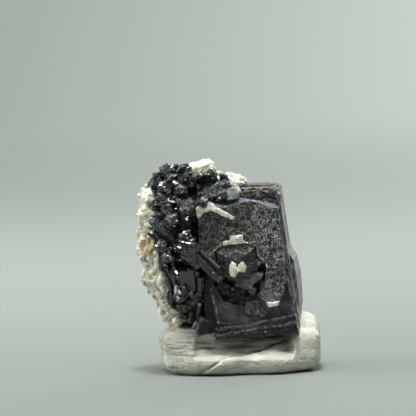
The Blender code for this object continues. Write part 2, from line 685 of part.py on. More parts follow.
def main():
    for obj in list(bpy.data.objects):
        bpy.data.objects.remove(obj)
    specimen = bpy.data.collections.new("fluorite_with_schorl")
    bpy.context.scene.collection.children.link(specimen)

    fluorite_look = material("dark_fluorite", (0.055, 0.047, 0.062), 0.45)
    schorl_look = material("black_schorl", (0.012, 0.013, 0.015), 0.22)
    feldspar_look = material("cream_feldspar", (0.72, 0.69, 0.56), 0.45)
    quartz_look = material("grey_quartz", (0.45, 0.47, 0.46), 0.2)
    matrix_look = material("pale_matrix", (0.58, 0.55, 0.45), 0.55)
    putty_look = material("grey_putty", (0.50, 0.50, 0.45), 0.6)

    fluorite = make_fluorite()
    embedded = make_embedded_schorl()
    schorl_group = make_schorl_group(fluorite)
    face_prism = make_face_prism([fluorite, schorl_group, embedded])
    upper_prisms = make_upper_prisms([fluorite, schorl_group])
    grains = make_feldspar_grains([fluorite, embedded, face_prism, schorl_group, upper_prisms])
    quartz_grain = make_quartz_grain([fluorite, upper_prisms, *grains])
    top_feldspar = make_top_feldspar([fluorite, schorl_group, upper_prisms])
    small_fluorite = make_small_fluorite([fluorite, schorl_group])
    crystals = [fluorite, schorl_group, upper_prisms, quartz_grain, top_feldspar, small_fluorite]
    rock = make_matrix(crystals)
    putty = make_putty([fluorite, schorl_group, small_fluorite, rock])

    schorl = [schorl_group, upper_prisms, face_prism, embedded]
    feldspar = [*grains, top_feldspar]
    finish([fluorite, small_fluorite], specimen, fluorite_look)
    finish(schorl, specimen, schorl_look)
    finish(feldspar, specimen, feldspar_look)
    finish([quartz_grain], specimen, quartz_look)
    finish([rock], specimen, matrix_look)
    finish([putty], specimen, putty_look)


main()
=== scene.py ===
import math
import random

import bmesh
import bpy
from mathutils import Matrix, Quaternion, Vector, noise


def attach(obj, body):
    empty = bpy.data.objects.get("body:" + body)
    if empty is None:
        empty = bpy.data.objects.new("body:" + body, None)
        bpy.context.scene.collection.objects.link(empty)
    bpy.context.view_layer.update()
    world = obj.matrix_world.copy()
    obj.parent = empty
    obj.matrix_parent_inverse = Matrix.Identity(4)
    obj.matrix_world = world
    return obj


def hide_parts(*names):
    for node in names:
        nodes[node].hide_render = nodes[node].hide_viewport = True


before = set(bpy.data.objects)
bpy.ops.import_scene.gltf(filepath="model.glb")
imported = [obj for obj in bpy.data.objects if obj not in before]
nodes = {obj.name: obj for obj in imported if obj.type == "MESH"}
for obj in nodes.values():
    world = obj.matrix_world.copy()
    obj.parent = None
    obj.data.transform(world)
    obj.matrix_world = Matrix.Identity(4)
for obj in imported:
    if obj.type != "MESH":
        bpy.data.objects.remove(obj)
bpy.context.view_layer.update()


# The large fluorite
# One dark purple cube, frosted on its front, where thin growth layers end in ledges and a broken hollow.
# It is the CAD solid with its faces divided finely and roughened, so that its edges stay sharp.

MM = 0.001
CRYSTAL_LEAN = math.radians(5.0)
CRYSTAL_YAW = math.radians(4.5)
CRYSTAL_CORNER = Vector((14.3, -12.0, 9.3)) * MM
FLUORITE_EDGE = 0.62 * MM
FRONT_EDGE = 0.36 * MM
WORN_RELIEF = 0.55 * MM
MOSAIC_SIZE = 3.2 * MM
MOSAIC_RELIEF = 0.12 * MM
WORN_HEIGHT = 0.10 * MM
FROST_SIZE = 0.75 * MM
FROST_RELIEF = 0.07 * MM


class Tone:
    """A value that varies over a surface. Arithmetic on it adds Math nodes to its material."""

    def __init__(self, look, socket):
        self.look = look
        self.socket = socket

    def joined(self, operation, first, second):
        return self.look.node("ShaderNodeMath", {"operation": operation}, {0: first, 1: second})

    def __add__(self, other):
        return self.joined("ADD", self, other)

    __radd__ = __add__

    def __sub__(self, other):
        return self.joined("SUBTRACT", self, other)

    def __rsub__(self, other):
        return self.joined("SUBTRACT", other, self)

    def __mul__(self, other):
        return self.joined("MULTIPLY", self, other)

    __rmul__ = __mul__

    def __abs__(self):
        return self.joined("ABSOLUTE", self, 0.0)

    def between(self, low, high):
        """0 below the low value, 1 above the high one, and a smooth step from one to the other."""
        inputs = {"Value": self, "From Min": low, "From Max": high}
        return self.look.node("ShaderNodeMapRange", {"interpolation_type": "SMOOTHSTEP"}, inputs)


def set_stops(ramp, stops):
    """Gives a ramp its colours, each at its position."""
    while len(ramp.elements) < len(stops):
        ramp.elements.new(0.5)
    for element, (position, colour) in zip(ramp.elements, stops):
        element.position = position
        element.color = (*colour, 1.0)


class Look:
    """A material built round one Principled shader, whose constant values are set on its sockets."""

    def __init__(self, name, constants):
        self.material = bpy.data.materials.new(name)
        self.material.use_nodes = True
        self.tree = self.material.node_tree
        self.shader = self.tree.nodes["Principled BSDF"]
        for socket, value in constants.items():
            self.shader.inputs[socket].default_value = value

    def node(self, kind, settings=None, inputs=None, output=0):
        """Adds a node of a type, with its settings and its sockets' values or links."""
        made = self.tree.nodes.new(kind)
        for name, value in (settings or {}).items():
            if name == "stops":
                set_stops(made.color_ramp, value)
            else:
                setattr(made, name, value)
        for key, value in (inputs or {}).items():
            self.feed(made.inputs[key], value)
        return Tone(self, made.outputs[output])

    def feed(self, socket, value):
        if isinstance(value, Tone):
            self.tree.links.new(value.socket, socket)
        elif socket.type == "RGBA" and len(value) == 3:
            socket.default_value = (*value, 1.0)
        else:
            socket.default_value = value

    def coordinates(self, stretch=(1.0, 1.0, 1.0), turn=(0.0, 0.0, 0.0)):
        """The place on the object, in metres, turned and stretched."""
        place = self.node("ShaderNodeTexCoord", output=3)
        return self.node("ShaderNodeMapping", {}, {"Vector": place, "Rotation": turn, "Scale": stretch})

    def grain(self, size, detail=2.0, rough=0.5, warp=0.0, **where):
        """Cloudy noise whose patches are about the given size across."""
        inputs = {
            "Vector": self.coordinates(**where), "Scale": 1 / size, "Detail": detail,
            "Roughness": rough, "Distortion": warp,
        }
        return self.node("ShaderNodeTexNoise", {}, inputs)

    def cells(self, size):
        """The distance to the nearest of some scattered points, as a share of the given size."""
        return self.node("ShaderNodeTexVoronoi", {}, {"Vector": self.coordinates(), "Scale": 1 / size})

    def facets(self, size):
        """Heights, in metres, of small flat facets, each tilted its own way."""
        place = self.coordinates()
        grid = {"Vector": place, "Scale": 1 / size}
        middle = self.node("ShaderNodeTexVoronoi", {}, grid, output=2)
        chance = self.node("ShaderNodeTexVoronoi", {}, grid, output=1)
        away = self.node("ShaderNodeVectorMath", {"operation": "SUBTRACT"}, {0: place, 1: middle})
        tilt = self.node("ShaderNodeVectorMath", {"operation": "SUBTRACT"}, {0: chance, 1: (0.5, 0.5, 0.5)})
        return self.node("ShaderNodeVectorMath", {"operation": "DOT_PRODUCT"}, {0: away, 1: tilt}, output=1)

    def painted(self, name):
        """A value painted on the mesh, as an attribute of its points."""
        return self.node("ShaderNodeAttribute", {"attribute_name": name}, output=2)

    def blend(self, share, first, second):
        """A colour that goes from the first to the second as the share goes from 0 to 1."""
        return self.node("ShaderNodeMix", {"data_type": "RGBA"}, {0: share, 6: first, 7: second}, output=2)

    def ramp(self, tone, stops):
        """A colour that a tone looks up in a row of stops."""
        return self.node("ShaderNodeValToRGB", {"stops": stops}, {"Fac": tone})

    def colour(self, value):
        self.feed(self.shader.inputs["Base Color"], value)

    def rough(self, value):
        self.feed(self.shader.inputs["Roughness"], value)

    def relief(self, height):
        """Bumps of the given height in metres."""
        inputs = {"Height": height, "Distance": 1.0, "Strength": 1.0}
        self.feed(self.shader.inputs["Normal"], self.node("ShaderNodeBump", {}, inputs))


def crystal_frame():
    """Places the fluorite's own axes: x along its width, y into it, z up its height."""
    turn = Matrix.Rotation(-CRYSTAL_YAW, 4, "Z") @ Matrix.Rotation(-CRYSTAL_LEAN, 4, "Y")
    return Matrix.Translation(CRYSTAL_CORNER) @ turn


INTO_CRYSTAL = crystal_frame().inverted()


def solid_copy(node):
    """The mesh of a CAD node as one closed skin."""
    bm = bmesh.new()
    bm.from_mesh(nodes[node].data)
    bmesh.ops.remove_doubles(bm, verts=bm.verts, dist=0.002 * MM)
    return bm


def divide(bm, longest, rounds=12, wanted=lambda edge: True):
    """Splits every wanted edge that is longer than this, round after round."""
    for _ in range(rounds):
        edges = [edge for edge in bm.edges if edge.calc_length() > longest and wanted(edge)]
        if not edges:
            break
        bmesh.ops.subdivide_edges(bm, edges=edges, cuts=1)
        bmesh.ops.triangulate(bm, faces=[face for face in bm.faces if len(face.verts) > 3])


def on_flat(vert):
    """Whether all the faces round a point lie in one plane."""
    first = vert.link_faces[0].normal
    return all(face.normal.dot(first) > 0.985 for face in vert.link_faces)


def put_in_scene(name, data):
    """Makes an object of a mesh, a lamp or a camera and puts it in the scene."""
    made = bpy.data.objects.new(name, data)
    bpy.context.scene.collection.objects.link(made)
    return made


def piece(name, bm, look, slot, *stands_for):
    """Makes a finished piece from a bmesh, with its material, its body and the CAD nodes that it replaces."""
    mesh = bpy.data.meshes.new(name)
    bm.to_mesh(mesh)
    bm.free()
    mesh.materials.append(look.material)
    made = put_in_scene(name, mesh)
    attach(made, "root")
    if stands_for:
        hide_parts(*stands_for)


def shift(bm, moves):
    """Moves each point of a mesh by its own step."""
    for vert, move in zip(bm.verts, moves):
        vert.co += move


def smooth(value, low, high):
    """0 below low, 1 above high and a smooth step between."""
    share = min(1.0, max(0.0, (value - low) / (high - low)))
    return share * share * (3 - 2 * share)


def fluorite_relief(point, size=1.0):
    """The height of the mosaic of growth blocks and of the frosting, in metres."""
    distances, places = noise.voronoi(point / (MOSAIC_SIZE * size))
    mosaic = noise.cell(places[0] * 5.1) * smooth(distances[1] - distances[0], 0.0, 0.12)
    frost = noise.noise(point / FROST_SIZE)
    return MOSAIC_RELIEF * (mosaic - 0.5) + FROST_RELIEF * frost


# The fluorite's colours. Where there are two, it goes from one to the other in patches.
INSIDE = ((0.004, 0.0035, 0.005), (0.014, 0.012, 0.017))
DULL = (0.040, 0.040, 0.039)
FROSTING = (0.64, 0.65, 0.615)
LILAC = ((0.060, 0.054, 0.068), (0.36, 0.34, 0.38))
# The veiled colours pale thin, clear parts with painted light, as if lit through from behind
VEILED_GLOW = ((0.064, 0.058, 0.070), (0.180, 0.168, 0.178))
SCRATCHES = (0.37, 0.36, 0.35)
# The slope colours are a painted highlight on the top ledge, where it faces up
SLOPE_HIGHLIGHT = ((0.070, 0.075, 0.088), (0.27, 0.29, 0.33))
# The worn colour lightens worn edges, and paints their highlight where they catch the light
WORN_AND_HIGHLIT = (0.50, 0.51, 0.47)
OLIVE = (0.15, 0.14, 0.085)


def frosted_front(look, clouds, fine, wisps):
    """The front's colour: near black, dulled in wisps, with light strokes and grit where it is frosted."""
    frost = look.painted("frost")
    patches = look.grain(1.9 * MM, detail=3.0, rough=0.6, warp=0.6).between(0.34, 0.62)
    dark = look.blend(clouds.between(0.35, 0.7), *INSIDE)
    dull = look.blend(wisps.between(0.5, 0.8) * (0.3 + frost), dark, DULL)
    waves = look.grain(
        0.8 * MM, detail=3.0, rough=0.7, warp=0.5, stretch=(1.0, 1.0, 0.85), turn=(0.0, 0.6, 0.0)
    )
    strokes = (1 - abs(waves - 0.5).between(0.006, 0.045)) * fine.between(0.42, 0.52)
    grit = (waves * 0.45 + fine * 0.55).between(0.49, 0.58)
    speckle = (strokes * 0.8 + grit * 0.8) * (0.35 + 0.65 * patches)
    return look.blend(frost * speckle, dull, FROSTING)


def clear_side_glow(look, wisps):
    """The colour of thin, clear fluorite, paled by painted light let through it: smoky veils with light
    scratches.
    """
    streaks = look.grain(1.1 * MM, detail=5.0, rough=0.7, warp=0.4, stretch=(1.0, 1.0, 0.3))
    veils = look.grain(5.0 * MM, detail=4.0, rough=0.6, warp=0.6)
    veiled = look.blend(veils.between(0.35, 0.65), *VEILED_GLOW)
    scratched = streaks.between(0.40, 0.66) * (0.3 + 0.7 * wisps.between(0.35, 0.6))
    return look.blend(scratched, veiled, SCRATCHES)


def fluorite_look():
    """Near-black purple fluorite: frosted with tiny facets, hazed lilac in places, paler where it is thin
    with painted light let through, and lit by painted highlights on its top ledge and worn edges.
    """
    look = Look("dark fluorite", {"IOR": 1.434, "Specular IOR Level": 0.5})
    frost = look.painted("frost")
    clouds = look.grain(4.0 * MM, detail=4.0, rough=0.6)
    fine = look.grain(0.36 * MM, detail=3.0, rough=0.8)
    wisps = look.grain(0.9 * MM, detail=4.0, rough=0.7, warp=1.5)
    wispy = wisps.between(0.3, 0.7)
    front = frosted_front(look, clouds, fine, wisps)
    hazed = look.blend(look.painted("haze") * clouds.between(0.25, 0.55), front, look.blend(wispy, *LILAC))
    # Thin parts are paled with painted light let through them
    cleared_and_glowing = look.blend(look.painted("thin"), hazed, clear_side_glow(look, wisps))
    # The top ledge gets a painted highlight where it faces up
    highlighted_slope = look.blend(look.painted("ledge"), cleared_and_glowing, look.blend(wispy, *SLOPE_HIGHLIGHT))
    # Worn edges are lightened, partly as a painted highlight
    worn = look.blend(look.painted("worn") * fine.between(0.36, 0.52), highlighted_slope, WORN_AND_HIGHLIT)
    look.colour(look.blend(look.painted("olive") * clouds.between(0.3, 0.6), worn, OLIVE))
    look.rough(0.22 + 0.30 * frost)
    look.relief(look.facets(0.36 * MM) * frost * 0.9 + look.facets(1.3 * MM) * 0.22 + fine * (0.03 * MM))
    return look


# Where the front is more or less frosted: place across and up the crystal and reach, in mm, and strength
FROST_SPOTS = [
    ((-3.6, 29.4), 4.6, 0.80),
    ((-3.2, 22.4), 4.2, 0.60),
    ((-5.5, 26.0), 3.0, 0.20),
    ((-10.4, 29.6), 2.6, -0.34),
    ((-18.2, 27.0), 3.6, -0.20),
    ((-13.6, 27.6), 2.0, 0.15),
    ((-19.2, 21.4), 1.9, -0.42),
    ((-8.5, 20.9), 1.5, -0.45),
    ((-4.4, 13.4), 3.4, 0.55),
    ((-11.0, 8.6), 2.4, 0.25),
]
# Light lines of worn edges on the front, painted also as highlights where the edges catch the light: their
# ends across and up the crystal, in mm, and strength
WORN_AND_HIGHLIT_EDGES = [
    ((-16.1, 25.0), (-20.8, 21.7), 1.0),
    ((-20.8, 21.7), (-18.6, 16.6), 0.4),
    ((-9.4, 24.0), (-5.8, 18.1), 1.0),
    ((-6.8, 16.4), (-1.1, 17.1), 0.9),
    ((-9.0, 11.2), (-6.3, 8.4), 0.6),
    ((-20.7, 3.5), (-11.5, 4.0), 0.9),
    ((-11.5, 4.0), (0.2, 5.2), 0.9),
    ((-20.4, 2.2), (0.3, 3.4), 0.55),
    ((-20.3, 13.7), (-19.5, 5.3), 0.8),
    ((-19.4, 5.3), (-16.0, 4.4), 0.5),
    ((-1.7, 17.4), (0.1, 6.1), 0.7),
    ((-1.0, 34.6), (-0.9, 18.2), 0.4),
]
# Where lilac haze shows through, and where it is olive, in the same way
HAZE_SPOTS = [
    ((-17.4, 9.4), 2.2, 0.6),
    ((-15.8, 6.4), 1.9, 0.45),
    ((-11.8, 5.4), 2.0, 0.75),
    ((-21.4, 33.4), 1.7, 0.95),
    ((-10.4, 14.6), 3.0, 0.75),
    ((-5.6, 9.6), 2.2, 0.8),
    ((-3.0, 7.0), 2.6, 0.3),
]
OLIVE_SPOTS = [
    ((-4.6, 35.8), 3.4, 0.9),
    ((-11.6, 5.2), 1.6, 0.6),
    ((-18.6, 24.0), 3.0, 0.25),
]
SIDE_FROST = 0.07
# Where one part of the crystal gives way to the next: heights up it and depths behind its front, in mm
FOOT_STEPS = (4.6, 6.4)
LOWER_PLATE = (9.0, 15.0)
LEDGE_HEIGHT = (31.0, 32.5)
FRONT_LAYER = (0.9, 1.5)
BEHIND_LEDGE = (3.0, 4.4)


def spotted(spots, across, up):
    """The sum of some soft round spots at a place across and up the crystal."""
    total = 0.0
    for (middle_across, middle_up), reach, strength in spots:
        away = math.hypot(across - middle_across, up - middle_up) / reach
        total += strength * math.exp(-away * away)
    return total


def worn_and_highlit_at(across, up):
    """How strongly a worn edge, lightened also as a painted highlight, shows at a place on the crystal's
    front, from 0 to 1.
    """
    place = Vector((across, up))
    found = 0.0
    for first, last, strength in WORN_AND_HIGHLIT_EDGES:
        first, last = Vector(first), Vector(last)
        along = (place - first).dot(last - first) / (last - first).length_squared
        away = (place - first.lerp(last, min(1.0, max(0.0, along)))).length
        found = max(found, strength * (1 - smooth(away, 0.10, 0.42)))
    return found


def frost_at(across, up, front):
    """How frosted a place is: most on the front above its foot, in spots, and little anywhere else."""
    plate = 0.26 + 0.28 * smooth(up, *LOWER_PLATE) + spotted(FROST_SPOTS, across, up)
    above_steps = 0.4 + 0.6 * smooth(up, *FOOT_STEPS)
    return max(SIDE_FROST, min(1.0, front * plate * above_steps))


def ledge_highlight_at(across, into, up, ragged, rise, front):
    """How much painted highlight a place gets on the pale slope at the top: where its ledge faces up, and a
    hint of it just below.
    """
    lit_upward_slope = smooth(rise, 0.15, 0.55) * smooth(up, *LEDGE_HEIGHT) * (1 - smooth(into, 3.0, 3.8))
    return max(0.8 * lit_upward_slope, 0.35 * front * smooth(up + 0.30 * across + ragged, 31.2, 34.2))


def thin_glow_at(across, into, up, ragged):
    """How thin and clear a place is, which sets the painted light let through it: at the right side, the
    upper right corner and the top rim.
    """
    right = smooth(across, -1.6, -0.5) * smooth(into, 1.0, 4.0) * (1 - 0.25 * smooth(into, 6.0, 12.0))
    corner = smooth(across + ragged, -3.8, -1.2) * smooth(up, 32.0, 35.5) * smooth(into, 1.5, 4.0)
    rim = smooth(up, 35.2, 36.4) * smooth(into + ragged, *BEHIND_LEDGE)
    return max(right, 0.8 * corner, 0.6 * rim)


def paint_fluorite(bm):
    """Marks where the fluorite is frosted, hazed, thin and lit through by painted light, given a painted
    highlight on its sloping ledge, worn and highlit at an edge, or olive.
    """
    names = ("frost", "haze", "thin", "ledge", "worn", "olive")
    layers = {name: bm.verts.layers.float.new(name) for name in names}
    turned = INTO_CRYSTAL.to_3x3()
    for vert in bm.verts:
        across, into, up = INTO_CRYSTAL @ vert.co / MM
        normal = turned @ vert.normal
        ragged = 0.8 * noise.noise(vert.co / (2.2 * MM))
        facing = smooth(-normal.y, 0.2, 0.7)
        front = (1 - smooth(into, *FRONT_LAYER)) * facing
        if facing > 0 and into < 3.5:
            broken = smooth(noise.noise(vert.co / (0.8 * MM)), -0.25, 0.2)
            # Worn edges, painted also as highlights
            vert[layers["worn"]] = worn_and_highlit_at(across + 0.4 * ragged, up + 0.35 * ragged) * (0.25 + 0.75 * broken)
        vert[layers["frost"]] = frost_at(across, up, front)
        vert[layers["haze"]] = min(1.0, spotted(HAZE_SPOTS, across + ragged, up - ragged))
        # Painted highlight on the upward-facing ledge
        vert[layers["ledge"]] = ledge_highlight_at(across, into, up, ragged, normal.z, front)
        # Painted light let through the thin parts
        vert[layers["thin"]] = thin_glow_at(across, into, up, ragged)
        not_ledge = max(smooth(into, *BEHIND_LEDGE), 1 - smooth(up, *LEDGE_HEIGHT))
        vert[layers["olive"]] = min(1.0, spotted(OLIVE_SPOTS, across + ragged, up)) * not_ledge


def roughen_fluorite(bm):
    """Lifts flat places by the growth mosaic, and breaks up the worn top behind the ledge, edges and all."""
    raised = bm.verts.layers.float["worn"]
    moves = []
    for vert in bm.verts:
        across, into, up = INTO_CRYSTAL @ vert.co / MM
        top = smooth(up, 32.5, 34.0) * smooth(into, 2.6, 4.0) * (1 - smooth(into, 9.0, 12.0))
        breaks = noise.noise(vert.co / (1.6 * MM)) + 0.7 * noise.noise(vert.co / (0.7 * MM)) - 0.3
        mosaic = fluorite_relief(vert.co) if on_flat(vert) else 0.0
        moves.append(vert.normal * (mosaic + WORN_HEIGHT * vert[raised] + top * WORN_RELIEF * breaks))
    shift(bm, moves)


def on_front(edge):
    """Whether an edge lies in the layers of the crystal's front."""
    return (INTO_CRYSTAL @ edge.verts[0].co).y < 2.2 * MM


fluorite = solid_copy("fluorite_crystal")
divide(fluorite, FLUORITE_EDGE)
divide(fluorite, FRONT_EDGE, rounds=1, wanted=on_front)
fluorite.normal_update()
paint_fluorite(fluorite)
roughen_fluorite(fluorite)
FLUORITE = fluorite_look()
piece("fluorite", fluorite, FLUORITE, "dark_fluorite", "fluorite_crystal")


# The growth ledges
# Small blocks that fill the broken hollow and the worn top in steps, as the crystal's own cubes grow.
# Each is a bevelled block, roughened and set a little askew, that reaches back into the large crystal.

LEDGE_EDGE = 0.32 * MM
BLOCK_BLUNT = 0.10
BLOCK_RELIEF = 0.16 * MM
HOLLOW_FLOOR = 5.2
# Place across and up the crystal, how far behind its front, width and height, turn in degrees, haze and frost
HOLLOW_LEDGES = [
    ((-11.8, 14.6), 1.0, (4.2, 3.2), 24, 1.0, 0.35),
    ((-8.6, 16.5), 0.5, (3.4, 1.0), 10, 1.0, 0.6),
    ((-9.4, 15.3), 0.9, (4.0, 1.1), -8, 1.0, 0.5),
    ((-9.5, 18.0), 1.3, (2.4, 2.4), 32, 0.4, 0.2),
    ((-9.9, 19.8), 0.2, (1.5, 1.2), 15, 0.1, 0.9),
    ((-7.6, 19.3), 0.2, (2.8, 1.6), -24, 0.1, 0.9),
    ((-10.0, 12.5), 1.3, (1.6, 1.8), 38, 0.6, 0.5),
    ((-17.4, 13.8), 2.4, (3.2, 2.6), 30, 0.0, 0.2),
    ((-14.6, 11.4), 3.2, (3.0, 2.6), -20, 0.0, 0.12),
    ((-12.2, 10.0), 2.8, (2.8, 2.2), 16, 0.1, 0.25),
    ((-10.4, 8.0), 1.3, (3.8, 3.6), 14, 0.1, 0.55),
    ((-8.4, 6.6), 1.6, (2.4, 2.2), 40, 0.2, 0.45),
    ((-17.9, 18.6), 0.3, (1.4, 1.0), 25, 0.2, 0.6),
    ((-16.9, 17.2), 0.8, (1.6, 1.2), -15, 0.1, 0.5),
    ((-7.3, 13.2), 1.5, (1.6, 2.8), 12, 0.2, 0.3),
]
HOLLOW_MIDDLE = (-12.6, 13.2)
HOLLOW_REACH = (5.6, 3.9)
HOLLOW_BLOCKS = 46
# Where the worn top's blocks stand, in mm: across the crystal, behind its front, and how high they reach
TOP_ACROSS = (-10.4, -1.9)
TOP_INTO = (5.9, 12.0)
TOP_REACH = (36.2, 37.0)
TOP_DEPTH = 2.2
TOP_BLOCKS = 34


def growth_block(middle, size, turn, tilt, haze, frost):
    """One bevelled, roughened block, placed in the crystal's own axes, in millimetres."""
    block = bmesh.new()
    bmesh.ops.create_cube(block, size=1.0)
    bmesh.ops.scale(block, vec=Vector(size) * MM, verts=block.verts)
    blunt = BLOCK_BLUNT * min(size) * MM
    bmesh.ops.bevel(
        block, geom=block.edges[:], offset=blunt, segments=1, profile=0.5, affect="EDGES", material=-1
    )
    bmesh.ops.triangulate(block, faces=block.faces)
    divide(block, LEDGE_EDGE)
    block.normal_update()
    askew = Matrix.Rotation(turn, 4, "Y") @ Matrix.Rotation(tilt, 4, "X")
    place = crystal_frame() @ Matrix.Translation(Vector(middle) * MM) @ askew
    bmesh.ops.transform(block, matrix=place, verts=block.verts)
    layers = {name: block.verts.layers.float.new(name) for name in ("frost", "haze")}
    for vert in block.verts:
        vert[layers["frost"]] = frost
        vert[layers["haze"]] = haze
        rough = noise.noise(vert.co / (0.9 * MM)) + 0.5 * noise.noise(vert.co / (0.4 * MM))
        vert.co += vert.normal * BLOCK_RELIEF * rough
    return block


def append(bm, part):
    """Adds a small bmesh to a large one and frees it."""
    mesh = bpy.data.meshes.new("part")
    part.to_mesh(mesh)
    part.free()
    bm.from_mesh(mesh)
    bpy.data.meshes.remove(mesh)


def hollow_block(bm, place, front, size, turn, tilt, haze, frost):
    """Adds a block that reaches from a depth behind the front to the hollow's floor."""
    depth = HOLLOW_FLOOR - front
    middle = (place[0], front + depth / 2, place[1])
    append(bm, growth_block(middle, (size[0], depth, size[1]), turn, tilt, haze, frost))


def make_ledges(dice):
    """The placed blocks of the hollow, random ones behind them, and random ones on the worn top."""
    bm = bmesh.new()
    for name in ("frost", "haze"):
        bm.verts.layers.float.new(name)
    for place, front, size, turn, haze, frost in HOLLOW_LEDGES:
        hollow_block(bm, place, front, size, math.radians(turn), dice.uniform(-0.1, 0.1), haze, frost)
    for _ in range(HOLLOW_BLOCKS):
        around, out = dice.uniform(0, math.tau), math.sqrt(dice.random())
        place = (
            HOLLOW_MIDDLE[0] + HOLLOW_REACH[0] * out * math.cos(around),
            HOLLOW_MIDDLE[1] + HOLLOW_REACH[1] * out * math.sin(around),
        )
        size = (dice.uniform(0.7, 2.4), dice.uniform(0.6, 1.9))
        front = dice.uniform(2.2, 4.2)
        haze = dice.choice((0.0, 0.0, 0.1, 0.3))
        frost = dice.choice((0.0, 0.08, 0.2))
        hollow_block(bm, place, front, size, dice.gauss(0.1, 0.3), dice.gauss(0, 0.12), haze, frost)
    for _ in range(TOP_BLOCKS):
        across, into, top = dice.uniform(*TOP_ACROSS), dice.uniform(*TOP_INTO), dice.uniform(*TOP_REACH)
        size = (dice.uniform(0.8, 2.6), dice.uniform(0.8, 2.2), TOP_DEPTH)
        middle = (across, into, top - TOP_DEPTH / 2)
        haze = 0.6 * dice.random()
        append(bm, growth_block(middle, size, dice.gauss(0, 0.10), dice.gauss(0, 0.12), haze, 0.25))
    return bm


piece("growth_ledges", make_ledges(random.Random(8)), FLUORITE, "dark_fluorite")


# The small fluorite
# A second, smoother cube at the large one's lower left, set askew in the matrix.
# It is the CAD solid, divided and roughened a little, and has the large one's look.

SMALL_FLUORITE_EDGE = 0.3 * MM


def roughen_flats(bm, strength, size):
    """Lifts a small crystal's flat places by the growth mosaic, at its own strength and size."""
    flat = [vert for vert in bm.verts if on_flat(vert)]
    for vert in flat:
        vert.co += vert.normal * strength * fluorite_relief(vert.co, size)


small_fluorite = solid_copy("fluorite_small_crystal")
divide(small_fluorite, SMALL_FLUORITE_EDGE)
small_fluorite.normal_update()
small_layers = {name: small_fluorite.verts.layers.float.new(name) for name in ("frost", "haze")}
for vert in small_fluorite.verts:
    vert[small_layers["frost"]] = 0.04
    vert[small_layers["haze"]] = 0.25 * smooth(vert.co.z / MM, 12.5, 14.0)
roughen_flats(small_fluorite, 0.5, 0.4)
piece("small_fluorite", small_fluorite, FLUORITE, "dark_fluorite", "fluorite_small_crystal")


# The schorl prisms
# Black tourmaline: rounded three-sided prisms with fine grooves along them and low pyramids on their ends.
# Each is a grooved ring drawn out from root to tip, and its end is cut by slanting planes.

PRISM_SIDES = 15
PRISM_RINGS = 3
THREEFOLD = 0.10
GROOVE = 0.10
END_SLANTS = (math.radians(27), math.radians(46))
FACING_UP = math.radians(90)
GOLDEN_ANGLE = math.radians(137.5)
# Heights in mm between which the prisms change from plain black ones, kept dark low down as painted shade, to
# etched and shining ones whose grey is partly painted sheen
ETCHED_AND_LIT_ABOVE = (19.0, 28.0)
SHINING_ABOVE = (18.0, 29.0)


def grooved_ring(radius, dice):
    """A filled ring with three bulges and fine grooves, from which a prism is drawn out."""
    crystal = bmesh.new()
    bmesh.ops.create_circle(crystal, cap_ends=True, segments=PRISM_SIDES, radius=radius)
    phase = dice.uniform(0, math.tau)
    for vert in crystal.verts:
        angle = math.atan2(vert.co.y, vert.co.x)
        threefold = 1 + THREEFOLD * math.cos(3 * angle + phase)
        vert.co *= threefold * (1 + dice.uniform(-GROOVE, GROOVE))
    return crystal


def of_kind(made, kind):
    """The points, edges or faces among all that an operator made."""
    return [item for item in made if isinstance(item, kind)]


def draw_out(crystal, length, dice):
    """Draws a ring out to a length, in steps that are each a little wider or narrower."""
    cap = crystal.faces[:]
    for ring in range(PRISM_RINGS):
        made = bmesh.ops.extrude_face_region(crystal, geom=cap)
        points = of_kind(made["geom"], bmesh.types.BMVert)
        if ring:
            bmesh.ops.delete(crystal, geom=cap, context="FACES_ONLY")
        cap = of_kind(made["geom"], bmesh.types.BMFace)
        bmesh.ops.translate(crystal, vec=(0, 0, length / PRISM_RINGS), verts=points)
        if ring < PRISM_RINGS - 1:
            step = 1 + dice.uniform(-0.08, 0.04)
            bmesh.ops.scale(crystal, vec=(step, step, 1), verts=points)


def cut_end(crystal, apex, around, slant):
    """Cuts a prism's end by a plane through its apex, which faces out at a slant, and closes the cut."""
    facing = Vector((math.cos(around) * math.sin(slant), math.sin(around) * math.sin(slant), math.cos(slant)))
    everything = crystal.verts[:] + crystal.edges[:] + crystal.faces[:]
    bmesh.ops.bisect_plane(crystal, geom=everything, plane_co=apex, plane_no=facing, clear_outer=True)
    bmesh.ops.holes_fill(crystal, edges=[edge for edge in crystal.edges if edge.is_boundary])


def tourmaline(bm, root, tip, radius, dice, facets=3, ragged=0.0, first=None):
    """Adds one striated prism, with root, tip and radius in millimetres, and its end cut by some facets."""
    root, tip, radius = Vector(root) * MM, Vector(tip) * MM, radius * MM
    length = (tip - root).length
    crystal = grooved_ring(radius, dice)
    draw_out(crystal, length + 0.6 * radius, dice)
    if first is None:
        first = dice.choice((FACING_UP, FACING_UP, math.pi)) + dice.gauss(0, 0.5)
    for number in range(facets):
        around = first + number * math.tau / facets + dice.uniform(-0.2, 0.2)
        slant = dice.choice(END_SLANTS) + dice.uniform(-0.10, 0.10) + ragged * dice.uniform(-0.3, 0.4)
        apex = Vector((0, 0, length + radius * dice.uniform(-0.05, 0.25)))
        cut_end(crystal, apex, around, slant)
    bmesh.ops.triangulate(crystal, faces=[face for face in crystal.faces if len(face.verts) > 4])
    bmesh.ops.recalc_face_normals(crystal, faces=crystal.faces)
    etched = crystal.verts.layers.float.new("etched")
    # Etched grey, partly painted sheen, kept off the low prisms as painted shade
    etch_and_light = dice.random() ** 1.7 * smooth(root.z / MM, *ETCHED_AND_LIT_ABOVE)
    for vert in crystal.verts:
        vert[etched] = etch_and_light
    aim = (tip - root).to_track_quat("Z", "Y").to_matrix().to_4x4()
    bmesh.ops.transform(crystal, matrix=Matrix.Translation(root) @ aim, verts=crystal.verts)
    append(bm, crystal)


